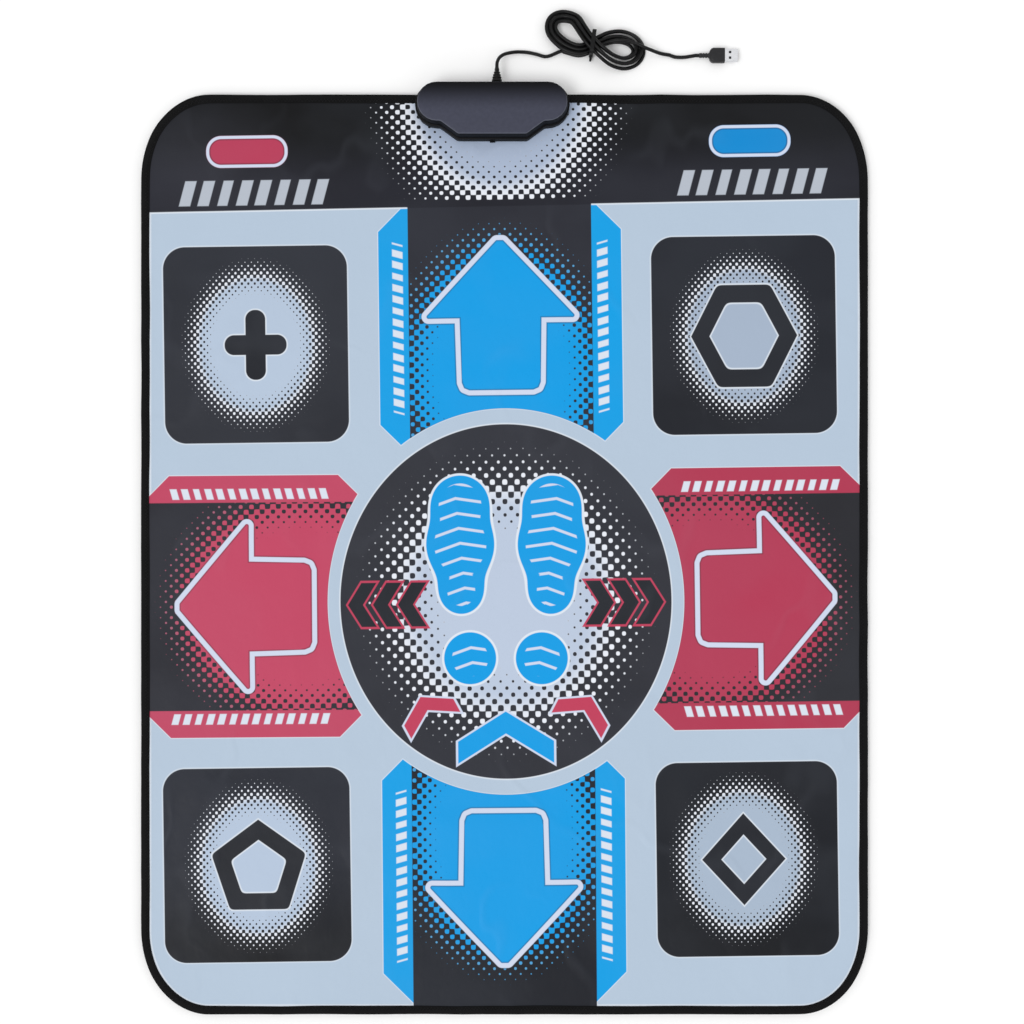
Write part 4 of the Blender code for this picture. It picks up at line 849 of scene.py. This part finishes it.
def finish(name, shape, *materials, smooth=SHARP):
    """A bmesh, drawn in its place on the mat, as an object at the origin."""
    bmesh.ops.recalc_face_normals(shape, faces=shape.faces)
    mesh = bpy.data.meshes.new(name)
    shape.to_mesh(mesh)
    shape.free()
    mesh.shade_smooth()
    mesh.set_sharp_from_angle(angle=smooth)
    for material in materials:
        mesh.materials.append(material)
    return add_object(name, mesh)


def place_piece(thing, slot, *nodes):
    """Puts a piece on the mat's own body."""
    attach(thing, "mat")
    if nodes:
        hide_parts(*nodes)
    return thing


JOINED = 0.01 * MM
FLAT = math.radians(0.5)


def merged_copy(node):
    """A CAD node's surface as a bmesh of joined faces."""
    shape = bmesh.new()
    shape.from_mesh(bpy.data.objects[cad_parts[node].name].data)
    bmesh.ops.remove_doubles(shape, verts=shape.verts, dist=JOINED)
    bmesh.ops.dissolve_limit(shape, angle_limit=FLAT, verts=shape.verts, edges=shape.edges)
    return shape


def add_bevel(thing, width):
    change = thing.modifiers.new("worn edges", "BEVEL")
    change.width = width
    change.segments = 2
    change.limit_method = "ANGLE"
    change.angle_limit = SHARP
    change.harden_normals = True


def smooth_part(name, node, material, slot, bevel=0.0):
    """A rigid piece in the shape of its CAD node, with joined and slightly worn edges."""
    thing = finish(name, merged_copy(node), material)
    if bevel:
        add_bevel(thing, bevel)
    return place_piece(thing, slot, node)


def rounded_outline(middle, half_x, half_y, reach_x, reach_y, steps):
    """Points round a rectangle whose corners are quarter ellipses, anticlockwise."""
    points = []
    for corner, (side_x, side_y) in enumerate(((1, 1), (-1, 1), (-1, -1), (1, -1))):
        for step in range(steps + 1):
            angle = math.pi / 2 * (corner + step / steps)
            x = side_x * (half_x - reach_x) + reach_x * math.cos(angle)
            y = side_y * (half_y - reach_y) + reach_y * math.sin(angle)
            points.append((middle[0] + x, middle[1] + y))
    return points


MAT_LOW, MAT_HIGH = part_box("edge_binding")
COVER_LOW, COVER_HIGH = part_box("top_cover")
CORNER_REACH = (68 * MM, 84 * MM)
CORNER_STEPS = 24
BINDING_LIP = 8.5 * MM
CUT_SPARE = 0.01  # how far a cutter runs past what it cuts


def mat_outline(inset):
    """The mat's outline, so far inside its edge."""
    sizes = [size - inset for size in (MAT_HIGH.x, MAT_HIGH.y, *CORNER_REACH)]
    return rounded_outline((0, 0), *sizes, CORNER_STEPS)


def cover_cutter(outlines):
    """Upright blocks, one for each outline, that cut right through the cover."""
    low = COVER_LOW.z - CUT_SPARE
    height = COVER_HIGH.z + CUT_SPARE - low
    shape = bmesh.new()
    for outline in outlines:
        ring = [shape.verts.new((x, y, low)) for x, y in outline]
        grown = bmesh.ops.extrude_face_region(shape, geom=[shape.faces.new(ring)])
        top = [part for part in grown["geom"] if isinstance(part, bmesh.types.BMVert)]
        bmesh.ops.translate(shape, vec=(0, 0, height), verts=top)
    return finish("cutter", shape)


def cut(thing, cutter, operation, name):
    """A new mesh object: what is left of a closed thing after a cut."""
    change = thing.modifiers.new("cut", "BOOLEAN")
    change.operation = operation
    change.object = cutter
    change.solver = "EXACT"
    depsgraph = bpy.context.evaluated_depsgraph_get()
    mesh = bpy.data.meshes.new_from_object(thing.evaluated_get(depsgraph))
    thing.modifiers.remove(change)
    mesh.name = name
    return add_object(name, mesh)


def discard(*things):
    for thing in things:
        bpy.data.objects.remove(thing, do_unlink=True)


def cover_slab():
    """A closed slab in the place of the whole cover, in even cells, cut to the outline."""
    shape = bmesh.new()
    size = MAT_HIGH - MAT_LOW
    cells_x = round(size.x / COVER_CELL)
    cells_y = round(size.y / COVER_CELL)
    bmesh.ops.create_grid(shape, x_segments=cells_x, y_segments=cells_y, size=0.5)
    bmesh.ops.scale(shape, vec=(size.x, size.y, 1), verts=shape.verts)
    bmesh.ops.solidify(shape, geom=shape.faces, thickness=COVER_HIGH.z - COVER_LOW.z)
    bmesh.ops.translate(shape, vec=(0, 0, COVER_HIGH.z), verts=shape.verts)
    whole = finish("whole", shape)
    edge = cover_cutter([mat_outline(COVER_INSET)])
    slab = cut(whole, edge, "INTERSECT", "cover_base")
    discard(whole, edge)
    return slab


# The cover and its zones

ZONES = ("up", "down", "left", "right", "upper_left", "upper_right", "lower_left", "lower_right")
SMALL_ZONES = ("select", "start")
ALL_ZONES = ZONES + SMALL_ZONES
REGIONS = ("disc", "head", *ZONES)
ZONE_BOXES = {zone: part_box(f"{zone}_pad") for zone in ALL_ZONES}
ZONE_STEPS = 10
COVER_TOP = COVER_HIGH.z - 0.1 * MM  # what lies above it is on the cover's upper face
CLOTH_SMOOTH = math.radians(60)


def zone_rect(zone):
    """A zone's middle, half its size and its corner's radius, after its CAD pad."""
    low, high = ZONE_BOXES[zone]
    corner = SMALL_ZONE_CORNER if zone in SMALL_ZONES else ZONE_CORNER
    return (low + high) / 2, (high - low) / 2, corner


def zone_outline(zone):
    middle, half, corner = zone_rect(zone)
    return rounded_outline(middle, half.x, half.y, corner, corner, ZONE_STEPS)


def zone_depth(zone, x, y):
    """How far inside a zone's outline a point lies, below nought outside it."""
    middle, half, corner = zone_rect(zone)
    over_x = abs(x - middle.x) - (half.x - corner)
    over_y = abs(y - middle.y) - (half.y - corner)
    outside = math.hypot(max(over_x, 0), max(over_y, 0))
    return corner - outside - min(max(over_x, over_y), 0)


def ease(share):
    share = min(1.0, max(0.0, share))
    return share * share * (3 - 2 * share)


def crease_height(x, y):
    """Soft creases of the cloth, in metres: long low waves and a few sharper folds."""
    broad = noise.noise(Vector((x * 9, y * 7, 0.3)))
    fold = noise.noise(Vector((x * 16 + y * 5, y * 15 - x * 4, 4.1)))
    ridge = 1 - abs(fold) * 6
    return CREASE * (broad + 0.5 * max(ridge, 0) ** 2)


def cover_lift(x, y):
    """The creases' height, less at the zones and along the binding, and none under the box."""
    near = max(zone_depth(zone, x, y) for zone in ALL_ZONES)
    share = ease(-near / CREASE_RUN)
    share *= ease((MAT_HIGH.x - BINDING_LIP - abs(x)) / EDGE_RUN)
    share *= ease((MAT_HIGH.y - BINDING_LIP - abs(y)) / EDGE_RUN)
    if abs(x) < BOX_REACH:
        share *= ease((BOX_FRONT - y) / BOX_RUN)
    return share * max(0, crease_height(x, y))


def carve(slab, zones, operation, name, lift):
    """What is left of the slab inside or outside some zones, its upper face raised by lift."""
    holes = cover_cutter([zone_outline(zone) for zone in zones])
    piece = cut(slab, holes, operation, name)
    discard(holes)
    shape = bmesh.new()
    shape.from_mesh(piece.data)
    for vert in shape.verts:
        x, y, z = vert.co
        if z >= COVER_TOP:
            vert.co.z += lift(x, y)
    discard(piece)
    return shape


def dress_cover(prints):
    """The cover with a hole for each zone, and each zone's own piece of cloth in its hole."""
    slab = cover_slab()
    shape = carve(slab, ALL_ZONES, "DIFFERENCE", "printed_cover", cover_lift)
    for face in shape.faces:
        middle = face.calc_center_median()
        face.material_index = REGIONS.index(region_of(middle.x / MM, middle.y / MM))
    materials = [prints[region] for region in REGIONS]
    cover = finish("printed_cover", shape, *materials, smooth=CLOTH_SMOOTH)
    place_piece(cover, "cover_print", "top_cover")
    for zone in ALL_ZONES:
        dress_zone(zone, slab, prints["head" if zone in SMALL_ZONES else zone])
    discard(slab)


def dress_zone(zone, slab, material):
    """A zone's crowned cloth, which rises from the cover's level to its crown."""
    middle, half = zone_rect(zone)[:2]
    crown = ZONE_BOXES[zone][1].z - COVER_HIGH.z
    run = min(PAD_RISE_RUN, half.y)

    def lift(x, y):
        rise = ease(zone_depth(zone, x, y) / run)
        return rise * (crown * PAD_CROWN + PAD_CREASE * crease_height(x, y))

    shape = carve(slab, [zone], "INTERSECT", f"{zone}_cloth", lift)
    skin = finish(f"{zone}_zone_cloth", shape, material, smooth=CLOTH_SMOOTH)
    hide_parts(f"{zone}_pad")
    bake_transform(skin)


# The binding

TAPE = 0.9 * MM  # thickness of the folded tape
FOLD = 0.45 * MM  # radius of its soft folds
TAPE_CELL = 6 * MM
EDGE_SLACK = 0.9 * MM  # how far the tape's outer edge wanders inwards
LIP_SLACK = 1.0 * MM  # and its lip besides, either way
TAPE_DIP = 0.25 * MM
STITCH = 1.7 * MM
STITCH_INSET = BINDING_LIP - 2.4 * MM
ZIGZAG = 1.3 * MM  # from the row's middle line to each side
THREAD = 0.6 * MM


def binding_section():
    """The folded tape's section, as insets from the mat's edge and heights."""
    top = MAT_HIGH.z
    lip = BINDING_LIP
    return (
        (lip, 0.03 * MM),
        (FOLD * 2, 0.0),
        (FOLD * 0.6, FOLD * 0.4),
        (0.0, FOLD * 2),
        (0.0, top - FOLD * 2.4),
        (FOLD * 0.6, top - FOLD * 0.7),
        (FOLD * 2.2, top),
        (lip * 0.55, top - 0.1 * MM),
        (lip - FOLD * 2, top - 0.15 * MM),
        (lip - FOLD * 0.4, top - FOLD * 0.8),
        (lip, top - TAPE),
        (TAPE, top - TAPE - 0.02 * MM),
        (TAPE, TAPE),
        (lip, TAPE - 0.02 * MM),
    )


def dress_binding(materials):
    """Tape folded round the edge, slightly uneven, with a zigzag of thread along its lip."""
    section = binding_section()
    shape = bmesh.new()
    loops = []
    for inset, z in section:
        ring = dense(mat_outline(inset), TAPE_CELL, mat_outline(0))
        verts = [shape.verts.new((x, y, z)) for x, y in ring]
        loops.append([shape.edges.new(pair) for pair in zip(verts, verts[1:] + verts[:1])])
    for low, high in zip(loops, loops[1:] + loops[:1]):
        bmesh.ops.bridge_loops(shape, edges=low + high)
    count = len(shape.verts) // len(section)
    for place, vert in enumerate(shape.verts):
        vert.co -= tape_shift(vert.co, section[place // count][0])
    binding = finish("binding_tape", shape, materials["tape"], smooth=math.radians(50))
    place_piece(binding, "binding", "edge_binding")
    black = materials["thread"]
    thread = tube("binding_stitches", stitch_points(), THREAD, 0, black, closed=True)
    place_piece(thread, "binding")


def tape_shift(spot, inset):
    """How far inwards and down a spot of the tape lies from the even section."""
    x, y, z = spot
    slack = EDGE_SLACK * abs(noise.noise(Vector((x * 14, y * 14, 5.0))))
    if inset > BINDING_LIP / 2:
        slack += LIP_SLACK * noise.noise(Vector((x * 11, y * 11, 8.0)))
    dip = TAPE_DIP * abs(noise.noise(Vector((x * 45, y * 45, 2.0))))
    inwards = Vector((x, y)).normalized() * slack
    return Vector((inwards.x, inwards.y, dip if z > MAT_HIGH.z * 0.7 else 0))


def stitch_points():
    """A zigzag along the binding's lip."""
    path = dense(mat_outline(STITCH_INSET), STITCH)
    points = []
    for place, (x, y) in enumerate(path):
        before = Vector(path[place - 1])
        after = Vector(path[(place + 1) % len(path)])
        out = Vector(((after - before).y, (before - after).x)).normalized()
        spot = Vector((x, y)) + out * (ZIGZAG if place % 2 else -ZIGZAG)
        points.append((spot.x, spot.y, MAT_HIGH.z + 0.05 * MM))
    return points


TOUCHING = 1e-7


def dense(outline, spacing, guide=None):
    """A closed outline divided to a steady spacing, or in as many steps as a guide would be."""
    points = []
    runs = guide or outline
    for place, here in enumerate(outline):
        following = (place + 1) % len(outline)
        after = outline[following]
        run = math.dist(runs[place], runs[following])
        if run < TOUCHING:
            continue
        count = max(1, round(run / spacing))
        for step in range(count):
            share = step / count
            x = here[0] + (after[0] - here[0]) * share
            y = here[1] + (after[1] - here[1]) * share
            points.append((x, y))
    return points


def dress_underside(materials):
    """The anti-slip backing, with the clamp plate's recess in it."""
    shape = merged_copy("base_sheet")
    backing = finish("anti_slip_backing", shape, materials["backing"])
    place_piece(backing, "backing", "base_sheet")


# The control box

WORN_RUBBER = 0.15 * MM  # how far the worn edges of each kind of piece reach
WORN_TIE = 0.2 * MM
WORN_PLUG = 0.15 * MM
WORN_METAL = 0.08 * MM


def dress_box(materials):
    smooth_part("box_cover", "box_upper_shell", materials["slate"], "box_top")
    smooth_part("box_tray", "box_lower_shell", materials["shell"], "box_bottom")
    smooth_part("strain_relief", "cord_boot", materials["rubber"], "cord", WORN_RUBBER)


def dress_inside(materials):
    """Finishes for the pieces inside, which keep the shapes of the solids."""
    finishes = {
        "lower_film": "film", "upper_film": "film", "film_tail": "film", "spacer_foam": "foam",
        "box_clamp_plate": "shell", "circuit_board": "board", "controller_chip": "chip",
        "film_socket": "nylon", "inner_wires": "rubber", "plug_tongue": "plug",
    }
    for zone in ALL_ZONES:
        finishes[f"{zone}_contact"] = "carbon"
    for number in range(1, 5):
        finishes[f"box_screw_{number}"] = "zinc"
    for node, key in finishes.items():
        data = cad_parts[node].data
        data.materials.clear()
        data.materials.append(materials[key])


# The cord

def smooth_route(stations, spacing):
    """Points a steady distance apart on one smooth curve through the stations."""
    places = [Vector(station) for station in stations]
    places.insert(0, places[0] * 2 - places[1])
    places.append(places[-1] * 2 - places[-2])
    fine = []
    for before, here, after, beyond in zip(places, places[1:], places[2:], places[3:]):
        leave = here + (after - before) / 6
        arrive = after - (beyond - here) / 6
        piece = interpolate_bezier(here, leave, arrive, after, CURVE_STEPS + 1)
        fine.extend(piece if not fine else piece[1:])
    steps = [0.0]
    for one, two in zip(fine, fine[1:]):
        steps.append(steps[-1] + (two - one).length)
    count = max(2, round(steps[-1] / spacing))
    wanted = np.linspace(0, steps[-1], count + 1)
    axes = [np.interp(wanted, steps, [point[axis] for point in fine]) for axis in range(3)]
    return [Vector(point) for point in zip(*axes)]


def tube(name, points, diameter, roundness, material, closed=False):
    data = bpy.data.curves.new(name, "CURVE")
    data.dimensions = "3D"
    data.bevel_depth = diameter / 2
    data.bevel_resolution = roundness
    data.use_fill_caps = not closed
    spline = data.splines.new("POLY")
    spline.points.add(len(points) - 1)
    for point, place in zip(spline.points, points):
        point.co = (*place, 1.0)
    spline.use_cyclic_u = closed
    spline.use_smooth = True
    data.materials.append(material)
    return add_object(name, data)


def hank_base(angle):
    """The middle line of the figure eight, before it is tilted, at an angle along it."""
    along = angle + END_CROWDING * math.sin(2 * angle)
    x = HANK_REACH * math.sin(along) / (1 + math.cos(along) ** 2)
    y = x * math.cos(along) * LOBE_FULLNESS
    lean = LEFT_LOBE_LEAN * ease(-x / LOBE_RUN)
    return Matrix.Rotation(-lean, 2) @ Vector((x, y))


def lobe_fan(angle):
    """The share by which the turns lie further apart than at the crossing."""
    x = hank_base(angle).x
    fan = RIGHT_LOBE_FAN if x > 0 else LEFT_LOBE_FAN
    return fan * ease(abs(x) / LOBE_RUN)


def crossing_height(angle):
    """How high the bundle is carried near the crossing, over the tie or the other bundle."""
    distance = hank_base(angle).length
    near = 1 - ease((distance - CROSSING_FLAT) / CROSSING_FALL)
    over = math.cos(angle) < 0
    return near * (CROSSING_LIFT + (2 * LAYER_PITCH if over else 0))


def hank_points():
    """The cord's line through the hank: spirals out on one layer and back on the next."""
    count = LOOPS * LOOP_POINTS + OPENING_STEPS
    turns = count / LOOP_POINTS
    spread = LOOP_PITCH * turns / 4
    tilt = Matrix.Rotation(HANK_TILT, 2)
    points = []
    for step in range(count + 1):
        turn = turns * step / count
        angle = HANK_START_ANGLE + math.tau * turn
        ahead = hank_base(angle + ANGLE_STEP) - hank_base(angle - ANGLE_STEP)
        left = Vector((-ahead.y, ahead.x)).normalized()
        offset = -spread + LOOP_PITCH * min(turn, turns - turn)
        offset *= 1 + lobe_fan(angle)
        layer = ease((turn - turns / 2 + LAYER_CLIMB / 2) / LAYER_CLIMB)
        leaving = ease((turn - turns + LEAVING_CLIMB) / LEAVING_CLIMB)
        plan = tilt @ (hank_base(angle) + left * offset) + Vector(HANK_MIDDLE)
        z = CORD_DIAMETER / 2 + crossing_height(angle) + LAYER_PITCH * (layer + leaving)
        points.append(Vector((plan.x, plan.y, z)))
    for end, inner in ((0, 1), (-1, -2)):
        flat = points[end] - points[inner]
        flat.z = 0
        straight = points[end] + flat.normalized() * CORD_DIAMETER
        points.insert(0 if end == 0 else len(points), straight)
    return points


def stations_from(x, y, z, steps):
    """Places that lie so many millimetres across, along and up from a point."""
    return [(x + step[0] * MM, y + step[1] * MM, z + step[2] * MM) for step in steps]


def lead_stations():
    """From the boot's tip down to the floor, then along it to the hank."""
    x, y, z = BOOT_TIP
    straight = [BOOT_TIP, (x, y + STRAIGHT_END, z)]
    leaving = stations_from(x, y, z, ((0.6, 7, -1.6), (3, 12, -4.6)))
    falling = ((7.6, 16, 5.2), (14, 18.6, 1.8), (21, 19.8, 0.2))
    lying = ((30, 19.4, 0), (40, 17.4, 0), (50, 15.2, 0))
    return straight + leaving + stations_from(x, y, CORD_DIAMETER / 2, falling + lying)


def tail_stations(start):
    """Over the end of the right lobe, down to the floor and along it to the plug."""
    floor = CORD_DIAMETER / 2
    x, y, z = start
    over = ((11, -2.6, 0), (19, -6.4, 0), (26, -8.6, -1.4), (32, -9.8, -4.8))
    leaving = stations_from(x, y, z, over)
    landing = stations_from(x, y, floor, ((38.5, -10.8, 1.4), (46, -11.6, 0)))
    x, y, z = PLUG_NECK
    rising = stations_from(x, y, floor, ((-24, -0.8, 0), (-15, -1.3, 0.5)))
    return leaving + landing + rising + [(x - STRAIGHT_END, y, z), PLUG_NECK]


def dress_cord(materials):
    """One cord from the strain relief through its hank to the plug, and what is on it."""
    winding = hank_points()
    way_out = (winding[-1] - winding[-2]).normalized()
    tail = tail_stations(winding[-1] + way_out * FIT)
    route = smooth_route(lead_stations() + winding + tail, CORD_STEP)
    cord = tube("cord_cable", route, CORD_DIAMETER, CORD_ROUNDNESS, materials["rubber"])
    place_piece(cord, "cord", "cord_lead", "cord_hank", "cord_tail")
    rubber, moulding, metal = [materials[key] for key in ("rubber", "plug", "steel")]
    tie = smooth_part("hank_band", "hank_tie", rubber, "cord", WORN_TIE)
    body = smooth_part("plug_moulding", "plug_overmould", moulding, "plug_body", WORN_PLUG)
    shell = smooth_part("plug_metal_shell", "plug_shell", metal, "plug_metal", WORN_METAL)


def build():
    bpy.context.scene.view_settings.view_transform = "Standard"
    set_camera()
    set_sky()
    set_sun()
    set_floor()
    materials = make_materials()
    dress_cord(materials)
    dress_box(materials)
    dress_inside(materials)
    dress_underside(materials)
    dress_binding(materials)
    dress_cover(make_prints())


build()
